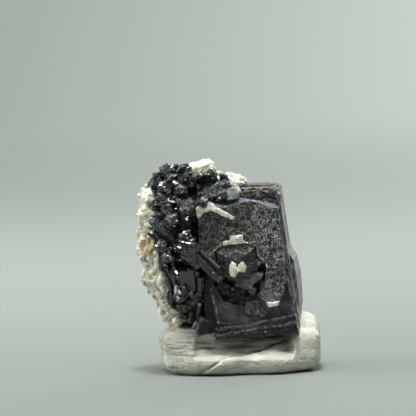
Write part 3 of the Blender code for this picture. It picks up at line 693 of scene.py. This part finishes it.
def bundle(bm, root, tip, radius, dice, companions=4):
    """A large prism: slim ones grown side by side to ragged ends, with a few loose ones against them."""
    root, tip = Vector(root), Vector(tip)
    way = (tip - root).normalized()
    across = way.orthogonal().normalized()
    first = FACING_UP + dice.gauss(0, 0.35)
    tourmaline(bm, root, tip - way * 0.25 * radius, radius * 0.72, dice, first=first)
    count = 4 + int(2.4 * radius)
    for number in range(count):
        out = Quaternion(way, number * GOLDEN_ANGLE) @ across
        reach = radius * 0.70 * math.sqrt((number + 0.6) / count)
        start = root + out * reach
        end = tip + out * reach - way * (0.45 * reach + dice.uniform(-0.25, 0.45) * radius * 0.5)
        tourmaline(bm, start, end, radius * dice.uniform(0.30, 0.50), dice, first=first)
    for _ in range(companions):
        out = Quaternion(way, dice.uniform(0, math.tau)) @ across
        start = root + out * radius * dice.uniform(0.8, 1.0)
        end = start + (tip - root) * dice.uniform(0.55, 0.95) + out * radius * dice.uniform(-0.1, 0.35)
        thin = radius * dice.uniform(0.14, 0.32)
        tourmaline(bm, start, end, thin, dice, facets=dice.choice((1, 2, 3)), ragged=0.5)


BLACK = (0.004, 0.005, 0.005)
# The etched grey stands in partly as painted sheen
ETCHED_AND_SHEEN = (0.165, 0.188, 0.178)
DUST = (0.34, 0.35, 0.31)


def schorl_look(name, grey):
    """Black, glassy tourmaline, duller and greyer where it is etched, a grey that also stands in as painted
    sheen, with minute steps on every face.
    """
    look = Look(name, {"IOR": 1.64, "Specular IOR Level": 0.8})
    etched = look.painted("etched")
    tarnish = look.grain(1.0 * MM, detail=4.0, rough=0.7)
    dust = look.grain(0.3 * MM, detail=2.0).between(0.60, 0.72) * etched
    # Etched grey, partly painted sheen
    dull = look.blend(etched * tarnish.between(0.4, 0.7), BLACK, grey)
    look.colour(look.blend(dust * 0.6, dull, DUST))
    height = look.node("ShaderNodeSeparateXYZ", {}, {0: look.coordinates()}, output=2)
    shining = height.between(SHINING_ABOVE[0] * MM, SHINING_ABOVE[1] * MM)
    look.rough(0.34 + 0.20 * etched - 0.24 * shining)
    look.relief(look.facets(1.3 * MM) * 0.20 + look.facets(0.42 * MM) * (0.04 + 0.6 * etched))
    return look


SCHORL = schorl_look("black schorl", ETCHED_AND_SHEEN)

# Root, tip and radius of the group's larger prisms, in millimetres
GROUP_PRISMS = [
    # The upright one beside the fluorite, and the one behind it
    ((-12.6, -3.0, 33.0), (-12.6, -10.5, 43.7), 2.6),
    ((-10.4, -4.0, 34.4), (-10.2, -9.6, 42.9), 1.7),
    # Short ones at the left, under the crown
    ((-15.6, -2.0, 42.0), (-19.1, -9.6, 44.0), 2.0),
    ((-14.6, -2.0, 40.3), (-17.6, -10.2, 42.0), 1.8),
    ((-17.0, -2.0, 40.6), (-21.4, -6.6, 42.3), 1.3),
    ((-13.7, -3.0, 37.7), (-16.7, -11.2, 39.3), 2.1),
    # Slanting ones across the left
    ((-13.6, -6.0, 30.8), (-21.5, -7.8, 39.8), 1.7),
    ((-14.6, -5.0, 29.6), (-21.8, -7.2, 36.6), 1.5),
    ((-12.6, -5.5, 34.0), (-19.0, -10.6, 38.4), 1.3),
    # The middle of the left side
    ((-13.8, -4.0, 34.4), (-12.6, -12.4, 35.3), 1.6),
    ((-11.9, -4.0, 32.6), (-11.2, -11.6, 33.9), 1.1),
    ((-15.6, -6.0, 31.8), (-10.2, -12.6, 30.9), 2.8),
    ((-13.0, -5.0, 27.8), (-9.9, -12.0, 28.4), 1.8),
    ((-15.8, -3.0, 31.2), (-19.2, -10.4, 32.5), 1.9),
    ((-15.2, -3.0, 29.4), (-18.0, -10.8, 29.8), 1.8),
    ((-16.0, -3.0, 33.2), (-20.6, -7.6, 33.3), 1.4),
    # The dark ones below
    ((-12.0, -2.0, 14.6), (-13.0, -8.6, 28.2), 3.3),
    ((-10.6, -2.5, 13.4), (-10.2, -7.4, 26.0), 2.9),
    ((-13.8, -2.0, 17.4), (-15.8, -8.2, 26.7), 2.2),
    ((-12.6, -1.0, 18.0), (-14.7, -9.8, 20.8), 2.4),
    ((-11.6, -1.0, 15.0), (-13.8, -8.6, 17.6), 2.0),
    ((-10.8, -1.0, 18.1), (-10.9, -9.0, 19.7), 2.2),
]
CROWN_MIDDLE = Vector((-14.3, -1.5, 45.1))
CROWN_WAY = Vector((-0.34, -0.72, 0.52)).normalized()
CROWN_RADIUS = 5.6
CROWN_LENGTH = 8.0
CROWN_COUNT = 105
CROWN_SPREAD = 0.42
GROUP_CORE_SIZE = Vector((5.8, 6.0, 18.0)) * MM
GROUP_CORE_MIDDLE = Vector((-15.0, -1.2, 31.0)) * MM


def grow_crown(bm, dice):
    """The domed bundle at the top: many thin prisms, packed as a sunflower's seeds are."""
    across = CROWN_WAY.cross(Vector((0, 0, 1))).normalized()
    over = across.cross(CROWN_WAY)
    for number in range(CROWN_COUNT):
        share = (number + 0.5) / CROWN_COUNT
        angle = number * GOLDEN_ANGLE
        outward = across * math.cos(angle) + over * math.sin(angle)
        way = (CROWN_WAY + outward * (CROWN_SPREAD * math.sqrt(share))).normalized()
        way = (way + Vector([dice.uniform(-0.13, 0.13) for _ in range(3)])).normalized()
        foot = CROWN_MIDDLE + outward * (CROWN_RADIUS * 0.62 * math.sqrt(share))
        length = CROWN_LENGTH * (1 - 0.34 * share) * dice.uniform(0.84, 1.06)
        girth = 0.42 + 0.95 * dice.random() ** 1.4
        tourmaline(bm, foot, foot + way * length, girth, dice, facets=dice.choice((1, 2, 3)), ragged=0.6)


def core_of_group(bm):
    """The mass in which the prisms are rooted, broken up into flat facets."""
    made = bmesh.ops.create_icosphere(bm, subdivisions=4, radius=1.0)
    bmesh.ops.scale(bm, vec=GROUP_CORE_SIZE, verts=made["verts"])
    bmesh.ops.translate(bm, vec=GROUP_CORE_MIDDLE, verts=made["verts"])
    for vert in made["verts"]:
        nearest = noise.voronoi(vert.co / (2.2 * MM))[1][0]
        vert.co += vert.normal * MM * (0.9 * noise.cell(nearest * 7.0) - 0.6)


group_dice = random.Random(11)
schorl_group = bmesh.new()
core_of_group(schorl_group)
for root, tip, radius in GROUP_PRISMS:
    bundle(schorl_group, root, tip, radius, group_dice, companions=5)
grow_crown(schorl_group, group_dice)
piece("schorl_prisms", schorl_group, SCHORL, "black_schorl", "schorl_group")


# The upper prisms
# Longer schorl prisms that lie side by side behind the fluorite's top edge, with a silvery sheen painted into
# their grey.
# They are bundles like those of the group.

# A painted silvery sheen in the upper prisms' grey
SILVERY_SHEEN = (0.34, 0.38, 0.35)
UPPER_PRISMS = [
    ((-10.6, -1.0, 45.7), (-4.9, -6.6, 50.2), 1.9),
    ((-11.0, -3.0, 42.9), (-1.4, -7.4, 47.2), 2.0),
    ((-9.6, -4.0, 41.9), (-1.8, -9.4, 45.4), 1.5),
    ((-6.0, 0.5, 44.4), (-2.4, -3.6, 49.2), 1.5),
    ((-8.6, 3.0, 43.2), (-6.6, -5.0, 46.6), 3.0),
    ((-12.0, -5.0, 41.8), (-7.6, -11.4, 43.6), 1.5),
]

upper_dice = random.Random(5)
upper_prisms = bmesh.new()
for root, tip, radius in UPPER_PRISMS:
    bundle(upper_prisms, root, tip, radius, upper_dice, companions=5)
silvery_schorl = schorl_look("silvery schorl", SILVERY_SHEEN)
piece("upper_prisms", upper_prisms, silvery_schorl, "black_schorl", "schorl_upper_prisms")


# The prism on the fluorite's face
# A deeply grooved schorl prism that lies aslant on the front, with a slimmer one and needles along it.
# Both are bundles, half sunk in the fluorite.

face_dice = random.Random(3)
face_prism = bmesh.new()
bundle(face_prism, (-10.8, -10.2, 30.6), (-4.0, -12.2, 23.2), 1.15, face_dice, companions=5)
bundle(face_prism, (-9.4, -10.4, 31.0), (-4.8, -12.0, 26.3), 0.75, face_dice, companions=2)
piece("face_prism", face_prism, SCHORL, "black_schorl", "schorl_face_prism")


# The hexagonal crystal
# A schorl seen end on, that the fluorite grew round. Its low pyramid is frosted like the fluorite, with a
# painted highlight on the faces that look up.
# It is the CAD solid, divided and roughened, and grown to close the gap that the solids keep.

HEXAGON_EDGE = 0.35 * MM
GAP = 0.3 * MM


def hexagon_look():
    """Dark schorl, painted grey where its faces look up as a highlight from above, in frosted patches."""
    look = Look("frosted schorl end", {"IOR": 1.6, "Specular IOR Level": 0.6})
    fine = look.grain(0.4 * MM, detail=4.0, rough=0.7)
    patches = look.grain(2.2 * MM, detail=3.0)
    share = fine.between(0.46, 0.66) * patches.between(0.25, 0.6) * look.painted("frost")
    look.colour(look.blend(share, (0.010, 0.010, 0.011), (0.46, 0.46, 0.43)))
    look.rough(0.22 + 0.3 * share)
    look.relief(look.facets(0.38 * MM) * (0.2 + 0.8 * share) + fine * (0.05 * MM))
    return look


def grow(bm, amount):
    """Moves every face outwards by an amount, to close the gap that the solids keep."""
    bm.normal_update()
    shift(bm, [vert.normal * amount * min(1.4, vert.calc_shell_factor()) for vert in bm.verts])


hexagon = solid_copy("schorl_hexagonal_crystal")
grow(hexagon, GAP)
divide(hexagon, HEXAGON_EDGE)
hexagon.normal_update()
hexagon_frost_and_highlight = hexagon.verts.layers.float.new("frost")
# Faces that look up get a painted highlight of frost grey
for vert in hexagon.verts:
    vert[hexagon_frost_and_highlight] = 0.12 + 0.88 * smooth(vert.normal.z, 0.05, 0.35)
roughen_flats(hexagon, 1.0, 0.45)
piece("hexagonal_crystal", hexagon, hexagon_look(), "black_schorl", "schorl_hexagonal_crystal")


# The feldspar grains
# Cream, slightly waxy grains with cleavage steps: one at the top and four on the fluorite's front.
# Each is its CAD solid, divided and lifted in small flat steps.

FELDSPAR_EDGE = 0.28 * MM
CLEAVAGE = 0.20 * MM
CREAM = ((0.62, 0.59, 0.45), (0.90, 0.89, 0.80))
VEINS = (0.36, 0.33, 0.22)
# How far light of each colour spreads in pale minerals, as shares of the scale
GLOW = (1.0, 0.95, 0.75)


def feldspar_look():
    """Cream feldspar that light sinks into, with fine darker veins."""
    constants = {"IOR": 1.53, "Subsurface Weight": 0.6, "Subsurface Scale": 0.0030, "Subsurface Radius": GLOW}
    look = Look("cream feldspar", constants)
    clouds = look.grain(2.0 * MM, detail=4.0)
    fine = look.grain(0.5 * MM, detail=4.0, rough=0.65)
    cream = look.blend(clouds.between(0.35, 0.7), *CREAM)
    look.colour(look.blend(fine.between(0.50, 0.68) * 0.75, cream, VEINS))
    look.rough(0.34 + 0.25 * fine)
    look.relief((fine + look.grain(0.9 * MM, stretch=(1.0, 1.0, 0.3))) * (0.10 * MM))
    return look


FELDSPAR = feldspar_look()


def make_feldspar(node):
    """Grows, divides and steps one CAD grain."""
    grain = solid_copy(node)
    grow(grain, 0.4 * GAP)
    divide(grain, FELDSPAR_EDGE)
    grain.normal_update()
    moves = []
    for vert in grain.verts:
        level = noise.noise(vert.co / (1.3 * MM)) * 2.5
        step = math.floor(level) * 0.5 + 0.7 * noise.noise(vert.co / (0.5 * MM)) - 0.3
        moves.append(vert.normal * CLEAVAGE * step)
    shift(grain, moves)
    piece(node + "_grown", grain, FELDSPAR, "cream_feldspar", node)


for feldspar_node in ("feldspar_crystal", "feldspar_ridge", "feldspar_bar", "feldspar_pair", "feldspar_tip"):
    make_feldspar(feldspar_node)


# The quartz grain
# A clear grey grain on the fluorite's top edge, clouded with cream.
# It is the CAD solid, grown to close the gap round it.

CLEAR_GREY = (0.40, 0.43, 0.42)
CLOUDY = (0.72, 0.73, 0.66)


def quartz_look():
    """Quartz that lets half of the light through, with soft uneven faces."""
    look = Look("grey quartz", {"IOR": 1.54, "Transmission Weight": 0.45, "Roughness": 0.14})
    clouds = look.grain(1.5 * MM, detail=3.0)
    look.colour(look.blend(clouds.between(0.35, 0.7), CLEAR_GREY, CLOUDY))
    look.relief(look.grain(0.6 * MM, detail=3.0) * (0.08 * MM))
    return look


quartz = solid_copy("quartz_grain")
grow(quartz, GAP)
divide(quartz, FELDSPAR_EDGE)
piece("quartz", quartz, quartz_look(), "grey_quartz", "quartz_grain")


# The matrix
# Pale granular rock: glassy quartz and cream feldspar grains, stained ochre by iron in places.
# The rock is the CAD solid made finer, and each grain is a small blunt polyhedron sunk in its surface.

MATRIX_EDGE = 0.8 * MM
GRAIN_COUNT = 2600
CLUSTER = 50
GRAIN_SIZE = 0.34
GRAIN_LIMIT = 1.3
# The middle and radius of each iron stain, in millimetres, and how strong it is
STAINS = [
    ((-24.6, -2.0, 33.2), 3.2, 1.0),
    ((-22.0, -3.6, 30.6), 2.2, 0.9),
    ((-19.5, -4.0, 25.6), 1.2, 1.0),
    ((-12.0, 0.0, 11.5), 5.0, 0.55),
    ((-6.0, 17.0, 24.0), 5.0, 0.7),
    ((-16.0, 10.0, 40.0), 3.5, 0.5),
]
# The grains' colours, from dull feldspar to clean white
GRAIN_TONES = [
    (0.0, (0.50, 0.49, 0.37)),
    (0.35, (0.72, 0.70, 0.55)),
    (0.65, (0.86, 0.85, 0.73)),
    (1.0, (0.94, 0.94, 0.88)),
]
CLOUDED = (0.46, 0.43, 0.28)
OCHRE = ((0.30, 0.17, 0.045), (0.50, 0.36, 0.14))


def stain_at(point):
    """How much iron stain there is at a point, from 0 to 1."""
    found = 0.0
    for middle, radius, strength in STAINS:
        away = (point / MM - Vector(middle)).length / radius
        wobble = 0.35 * noise.noise(point / (1.6 * MM))
        found = max(found, strength * (1 - smooth(away + wobble, 0.55, 1.1)))
    return found


def matrix_look():
    """Rock of pale grains, each of its own tone, that light sinks into. Iron stains it ochre."""
    constants = {"IOR": 1.53, "Subsurface Weight": 0.5, "Subsurface Scale": 0.0025, "Subsurface Radius": GLOW}
    look = Look("granular matrix", constants)
    kind = look.painted("kind")
    stain = look.painted("stain")
    clouds = look.grain(1.1 * MM, detail=5.0, rough=0.65)
    clouded = look.blend(clouds.between(0.50, 0.75) * 0.5, look.ramp(kind, GRAIN_TONES), CLOUDED)
    ochre = look.blend(clouds.between(0.3, 0.7), *OCHRE)
    look.colour(look.blend(stain * 0.85, clouded, ochre))
    look.rough(0.42 - 0.27 * kind * clouds + 0.2 * stain)
    look.relief(look.grain(0.5 * MM, detail=4.0, rough=0.6) * (0.08 * MM) + look.facets(0.7 * MM) * 0.35)
    return look


def add_grain(bm, middle, facing, size, dice):
    """One blunt polyhedron, flattened on a few sides as a broken crystal is."""
    made = bmesh.ops.create_icosphere(bm, subdivisions=1, radius=size)
    stretch = Vector((dice.uniform(0.7, 1.3), dice.uniform(0.7, 1.3), dice.uniform(0.6, 1.1)))
    bmesh.ops.scale(bm, vec=stretch, verts=made["verts"])
    for vert in made["verts"]:
        vert.co *= dice.uniform(0.70, 1.15)
    turn = Quaternion(Vector([dice.gauss(0, 1) for _ in range(3)]).normalized(), dice.uniform(0, math.tau))
    place = Matrix.Translation(middle - facing * size * 0.35) @ turn.to_matrix().to_4x4()
    bmesh.ops.transform(bm, matrix=place, verts=made["verts"])
    return made["verts"]


def grain_cluster(places, dice):
    """Some dozens of grains at the given places, painted with their kinds and stains."""
    cluster = bmesh.new()
    kind = cluster.verts.layers.float.new("kind")
    stain = cluster.verts.layers.float.new("stain")
    for middle, facing in places:
        size = MM * min(GRAIN_LIMIT, GRAIN_SIZE * math.exp(abs(dice.gauss(0, 0.70))))
        verts = add_grain(cluster, middle, facing, size, dice)
        tint = min(1.0, max(0.0, dice.gauss(0.62, 0.26)))
        rust = stain_at(middle)
        for vert in verts:
            vert[kind] = tint
            vert[stain] = rust * dice.uniform(0.7, 1.0)
    return cluster


def make_matrix(dice):
    """The rock's skin, broken up into flat facets, with grains sunk in it all over."""
    rock = solid_copy("matrix")
    divide(rock, MATRIX_EDGE)
    rock.normal_update()
    kind = rock.verts.layers.float.new("kind")
    stain = rock.verts.layers.float.new("stain")
    for vert in rock.verts:
        nearest = noise.voronoi(vert.co / (1.5 * MM))[1][0]
        vert[kind] = 0.15 + 0.6 * noise.cell(nearest * 9.0)
        vert[stain] = stain_at(vert.co)
        vert.co += vert.normal * MM * (0.55 * noise.cell(nearest * 7.0) - 0.45)
    faces = rock.faces[:]
    areas = [face.calc_area() for face in faces]
    places = []
    for face in dice.choices(faces, weights=areas, k=GRAIN_COUNT):
        places.append((face.calc_center_median(), face.normal.copy()))
    for start in range(0, len(places), CLUSTER):
        append(rock, grain_cluster(places[start:start + CLUSTER], dice))
    return rock


matrix = make_matrix(random.Random(21))
piece("granular_matrix", matrix, matrix_look(), "pale_matrix", "matrix")


# The putty
# A pale grey lump of mineral putty, kneaded and folded over, and pressed up round the crystals' feet.
# It is a finely divided cube, rounded by the CAD solid's own formulas and then folded and marked.

PUTTY_LENGTH = 40.4
PUTTY_DEPTH = 28.0
PUTTY_HEIGHT = 12.3
PUTTY_LOBE_HEIGHT = 14.9
PUTTY_LOBE_MIDDLE = (16.4, 3.8)
PUTTY_LOBE_REACH = 9.5
PUTTY_PLAN_POWER = 3.4
PUTTY_SIDE_POWER = 4.6
PUTTY_SLOPE = 0.18
PUTTY_HOLLOW = 0.30
PUTTY_SHRINK = 0.985
PUTTY_CUT = 0.5
PUTTY_CUTS = 84
PUTTY_SAG = 1.2
PUTTY_DROOP = 0.7

# Points along the fold's crease, across and up the front, in millimetres
CREASE = [
    (-10.6, 0.2), (-7.3, 2.4), (-4.5, 4.0), (-2.0, 4.7), (1.0, 5.1), (4.3, 5.4), (8.3, 6.7), (11.0, 8.2),
]
LIP_HEIGHT = 0.40
CRACK_DEPTH = 0.8
SMALL_FOLD_DEPTH = 0.4
# The middle of each blue smudge across and up the front, and its reach sideways and upwards, in millimetres
BLUE_SMUDGES = [((-20.4, 5.9), 1.5, 0.7), ((-17.2, 1.9), 2.0, 0.6)]

PUTTY = ((0.46, 0.47, 0.38), (0.62, 0.63, 0.54))
# The darkest colour is grime and painted shadow: the shade in the hollow under the crystals is painted on.
GRIME_AND_SHADOW = (0.056, 0.060, 0.043)
SPECKS = (0.10, 0.10, 0.10)
BLUE = (0.06, 0.09, 0.13)


def putty_look():
    """Matt grey putty with stretch marks, grime and painted shadow under the crystals, dark specks and blue
    smudges.
    """
    look = Look("grey putty", {"IOR": 1.45, "Subsurface Weight": 0.12, "Subsurface Scale": 0.001})
    clouds = look.grain(5.0 * MM, detail=4.0, rough=0.6)
    fine = look.grain(0.5 * MM, detail=4.0, rough=0.7)
    drawn = look.grain(0.8 * MM, detail=3.0, stretch=(0.12, 0.3, 1.0))
    specks = (1 - look.cells(2.2 * MM).between(0.03, 0.10)) * fine.between(0.45, 0.6)
    body = look.blend(clouds.between(0.3, 0.7), *PUTTY)
    # Grime and painted shadow darken the front under the crystals
    grimed_and_shaded = look.blend(look.painted("grime") * (0.7 + 0.3 * drawn.between(0.42, 0.66)), body, GRIME_AND_SHADOW)
    specked = look.blend(specks, grimed_and_shaded, SPECKS)
    look.colour(look.blend(look.painted("blue") * fine.between(0.3, 0.6), specked, BLUE))
    look.rough(0.52 + 0.2 * fine)
    look.relief(fine * (0.17 * MM) + drawn * (0.16 * MM))
    return look


def crease_height(x):
    """How high the fold's crease runs on the putty's front, in millimetres."""
    for (x0, z0), (x1, z1) in zip(CREASE, CREASE[1:]):
        if x0 <= x <= x1:
            return z0 + (z1 - z0) * (x - x0) / (x1 - x0) + 0.22 * noise.noise(Vector((x * 1.1, 3.1, 0)))
    return 99.0


def fold_height(point):
    """The folds of the front: a flap pressed over a crack, and a small fold below it, in millimetres."""
    x, z = point.x / MM, point.z / MM
    below = crease_height(x) - z
    lip = LIP_HEIGHT * smooth(below, 0.0, 0.3) * (1 - smooth(below, 0.5, 2.6))
    crack = -CRACK_DEPTH * math.exp(-(((below + 0.12) / 0.22) ** 2))
    lower_x = (x + 1.6) / 3.4
    bent = (z - 1.9 + 1.4 * lower_x * lower_x) / 0.25
    small_fold = -SMALL_FOLD_DEPTH * math.exp(-(bent ** 2)) * (abs(lower_x) < 0.9)
    return lip + crack + small_fold


def putty_relief(point, normal):
    """All of the putty's folds and marks at a point, in metres."""
    x, y, z = point / MM
    lumps = 0.40 * noise.noise(point / (7.0 * MM)) + 0.20 * noise.noise(point / (2.6 * MM))
    broad = noise.noise(Vector((x * 0.13, y * 0.3, z * 1.7)))
    streaks = broad + 0.5 * noise.noise(Vector((x * 0.2, y, z * 4.0)))
    drawn = 0.20 * streaks * smooth(z, 3.5, 6.0) * (1 - smooth(x, 4.0, 10.0))
    pores = -0.16 * smooth(noise.noise(point / (0.75 * MM)), 0.25, 0.5)
    front = smooth(-normal.y, 0.2, 0.6)
    foot = smooth(z, 0.0, 0.8)
    return MM * foot * (lumps + drawn + pores + front * fold_height(point))


def putty_height(x, y):
    """The height of the putty's top over a point of its footprint, in millimetres."""
    away = math.hypot(x - PUTTY_LOBE_MIDDLE[0], y - PUTTY_LOBE_MIDDLE[1])
    lobe = max(0.0, 1 - (away / PUTTY_LOBE_REACH) ** 2)
    sag = PUTTY_SAG * max(0.0, 1 - abs(x - 5) / 13)
    height = PUTTY_HEIGHT - sag - PUTTY_DROOP * max(0.0, -y / (PUTTY_DEPTH / 2))
    return height + (PUTTY_LOBE_HEIGHT - height) * lobe


def putty_waist(x, y, z):
    """The share of its depth that the front keeps: less near its top, and least under the crystals."""
    if y > 0:
        return 1.0
    edge = z + 0.4 * noise.noise(Vector((x * 0.35, 1.7, z * 0.3)))
    slope = PUTTY_SLOPE * smooth(edge, 2.0, 10.5)
    under = smooth(x, -13.5, -9.5) * (1 - smooth(x, 12.0, 14.5))
    return 1 - max(slope, PUTTY_HOLLOW * under * smooth(edge, 3.2, 6.6))


def putty_place(corner):
    """Where a point of a cube two units wide goes: nearly oval from above, and squarer from the side."""
    across, along, level = corner
    plan = (abs(across) ** PUTTY_PLAN_POWER + abs(along) ** PUTTY_PLAN_POWER) ** (1 / PUTTY_PLAN_POWER)
    reach = (plan ** PUTTY_SIDE_POWER + abs(level) ** PUTTY_SIDE_POWER) ** (1 / PUTTY_SIDE_POWER)
    x, y, rise = across / reach, along / reach, (level / reach + 1) / 2
    uneven = PUTTY_SHRINK * (1 + 0.06 * noise.noise(Vector((x * 2.4, y * 1.7, rise * 0.8))))
    x *= uneven * PUTTY_LENGTH / 2
    y *= uneven * PUTTY_DEPTH / 2
    z = max(0.0, putty_height(x, y) * rise - PUTTY_CUT)
    return Vector((x, y * putty_waist(x, y, z), z)) * MM


def grime_and_shadow_at(x, z):
    """How dark the front is made at a place in millimetres, by grime and painted shadow: most in the hollow
    under the crystals.
    """
    under = smooth(x + 0.9 * z, -10.0, -1.5) * (1 - smooth(x, 11.5, 13.5)) * smooth(z, 4.1, 5.8)
    return max(0.45 * smooth(z, 3.5, 6.5) * (1 - smooth(x, 2.0, 11.0)), under)


def blue_at(x, z):
    """How blue the front is at a place in millimetres."""
    found = 0.0
    for (middle_x, middle_z), width, height in BLUE_SMUDGES:
        away = math.hypot((x - middle_x) / width, (z - middle_z) / height)
        found = max(found, 1 - smooth(away, 0.3, 1.0))
    return found


def make_putty():
    """The lump, with its folds and marks raised and its grime, painted shadow and smudges marked on its
    front.
    """
    putty = bmesh.new()
    bmesh.ops.create_cube(putty, size=2.0)
    bmesh.ops.subdivide_edges(putty, edges=putty.edges, cuts=PUTTY_CUTS, use_grid_fill=True)
    for vert in putty.verts:
        vert.co = putty_place(vert.co)
    putty.normal_update()
    blue = putty.verts.layers.float.new("blue")
    grime = putty.verts.layers.float.new("grime")
    for vert in putty.verts:
        x, z = vert.co.x / MM, vert.co.z / MM
        facing = smooth(-vert.normal.y, 0.0, 0.4)
        # Grime and painted shadow, on faces that look forward
        vert[grime] = grime_and_shadow_at(x, z) * facing
        vert[blue] = blue_at(x, z) * facing
    shift(putty, [vert.normal * putty_relief(vert.co, vert.normal) for vert in putty.verts])
    for face in putty.faces:
        face.smooth = True
    return putty


piece("putty", make_putty(), putty_look(), "grey_putty", "putty_base")


# The studio
# A pale paper floor that curves up into a plain backdrop, darker towards the camera.
# Lamps overhead and at the left light the specimen, and small ones in front make its facets glint.

FLOOR_REACH = 1.6
SWEEP_START = 1.10
SWEEP_RADIUS = 0.35
SWEEP_HEIGHT = 0.9
PAPER_NEAR = (0.178, 0.197, 0.183)
PAPER_FAR = (0.40, 0.435, 0.408)
# Each lamp's name, place, size and power, in metres and watts
LAMPS = [
    ("overhead", (-0.005, -0.055, 0.50), 0.045, 1.6),
    ("overhead_soft", (-0.03, -0.06, 0.50), 0.22, 1.1),
    ("overhead_wide", (-0.03, -0.06, 0.56), 0.55, 1.9),
    ("side_soft", (-0.48, 0.05, 0.22), 0.16, 1.7),
    ("glint_left", (-0.34, -0.30, 0.40), 0.05, 0.12),
    ("glint_right", (0.30, -0.38, 0.46), 0.05, 0.12),
    ("glint_front", (-0.08, -0.55, 0.40), 0.02, 0.05),
]
SPECIMEN_MIDDLE = (-0.004, 0.0, 0.030)
AIR_FRONT = 0.03
AIR_TOP = 0.60
AIR_COLOUR = (0.93, 1.0, 0.96, 1.0)


def make_studio():
    """The paper: a flat floor, a quarter bend and an upright back, drawn out from one edge."""
    bm = bmesh.new()
    near = [bm.verts.new((x, -FLOOR_REACH, 0)) for x in (-FLOOR_REACH, FLOOR_REACH)]
    made = bmesh.ops.extrude_edge_only(bm, edges=[bm.edges.new(near)])
    far = of_kind(made["geom"], bmesh.types.BMVert)
    bmesh.ops.translate(bm, vec=(0, FLOOR_REACH + SWEEP_START, 0), verts=far)
    edge = of_kind(made["geom"], bmesh.types.BMEdge)
    centre = (0, SWEEP_START, SWEEP_RADIUS)
    spun = bmesh.ops.spin(
        bm, geom=edge, cent=centre, axis=(1, 0, 0), angle=math.pi / 2, steps=24, use_merge=False
    )
    edge = of_kind(spun["geom_last"], bmesh.types.BMEdge)
    made = bmesh.ops.extrude_edge_only(bm, edges=edge)
    top = of_kind(made["geom"], bmesh.types.BMVert)
    bmesh.ops.translate(bm, vec=(0, 0, SWEEP_HEIGHT), verts=top)
    for face in bm.faces:
        face.smooth = True
    mesh = bpy.data.meshes.new("studio_sweep")
    bm.to_mesh(mesh)
    bm.free()
    sweep = put_in_scene("studio_sweep", mesh)
    look = Look("studio paper", {"Roughness": 0.6})
    parts = look.node("ShaderNodeSeparateXYZ", {}, {0: look.coordinates()}, output=1)
    look.colour(look.blend(parts.between(-0.05, 0.45), PAPER_NEAR, PAPER_FAR))
    mesh.materials.append(look.material)


def lamp(name, place, aim, size, power):
    """A square lamp at a place, turned towards a point, in metres and watts."""
    data = bpy.data.lights.new(name, "AREA")
    data.size = size
    data.energy = power
    made = put_in_scene(name, data)
    made.location = place
    made.rotation_euler = (Vector(aim) - Vector(place)).to_track_quat("-Z", "Y").to_euler()


def make_air():
    """Light from all round, brighter overhead and dim in front, as in a tent with its front open."""
    world = bpy.data.worlds.new("studio air")
    bpy.context.scene.world = world
    world.use_nodes = True
    tree = world.node_tree
    place = tree.nodes.new("ShaderNodeTexCoord")
    parts = tree.nodes.new("ShaderNodeSeparateXYZ")
    ramp = tree.nodes.new("ShaderNodeMapRange")
    ramp.inputs["From Min"].default_value = 0.05
    ramp.inputs["To Min"].default_value = AIR_FRONT
    ramp.inputs["To Max"].default_value = AIR_TOP
    tree.links.new(place.outputs["Generated"], parts.inputs[0])
    tree.links.new(parts.outputs["Z"], ramp.inputs["Value"])
    air = tree.nodes["Background"]
    air.inputs["Color"].default_value = AIR_COLOUR
    tree.links.new(ramp.outputs[0], air.inputs["Strength"])


make_studio()
for name, place, size, power in LAMPS:
    lamp(name, place, SPECIMEN_MIDDLE, size, power)
lamp("backdrop_lamp", (0.55, 1.10, 0.60), (0.30, 1.15, 0.00), 0.25, 7.0)
make_air()
bpy.context.scene.view_settings.view_transform = "Standard"


# The camera
# It looks a little down on the specimen's front from far off, and is rolled a little, as in the photograph.

CAMERA_ELEVATION = math.radians(4.6)
CAMERA_ROLL = math.radians(1.6)
CAMERA_DISTANCE = 1.125
CAMERA_TARGET = Vector((-7.12, 0.0, 40.84)) * MM
PICTURE_SIDE = 416
PICTURE_SCALE = 4500.0


def make_camera():
    """Sets up the camera at the photograph's angle and scale."""
    data = bpy.data.cameras.new("camera")
    data.sensor_width = 36.0
    data.lens = PICTURE_SCALE / PICTURE_SIDE * data.sensor_width
    data.clip_end = 20.0
    made = put_in_scene("camera", data)
    back = Vector((0, -math.cos(CAMERA_ELEVATION), math.sin(CAMERA_ELEVATION)))
    place = Matrix.Translation(CAMERA_TARGET + back * CAMERA_DISTANCE)
    tilt = Matrix.Rotation(math.radians(90) - CAMERA_ELEVATION, 4, "X")
    roll = Matrix.Rotation(-CAMERA_ROLL, 4, "Z")
    made.matrix_world = place @ tilt @ roll
    bpy.context.scene.camera = made


make_camera()
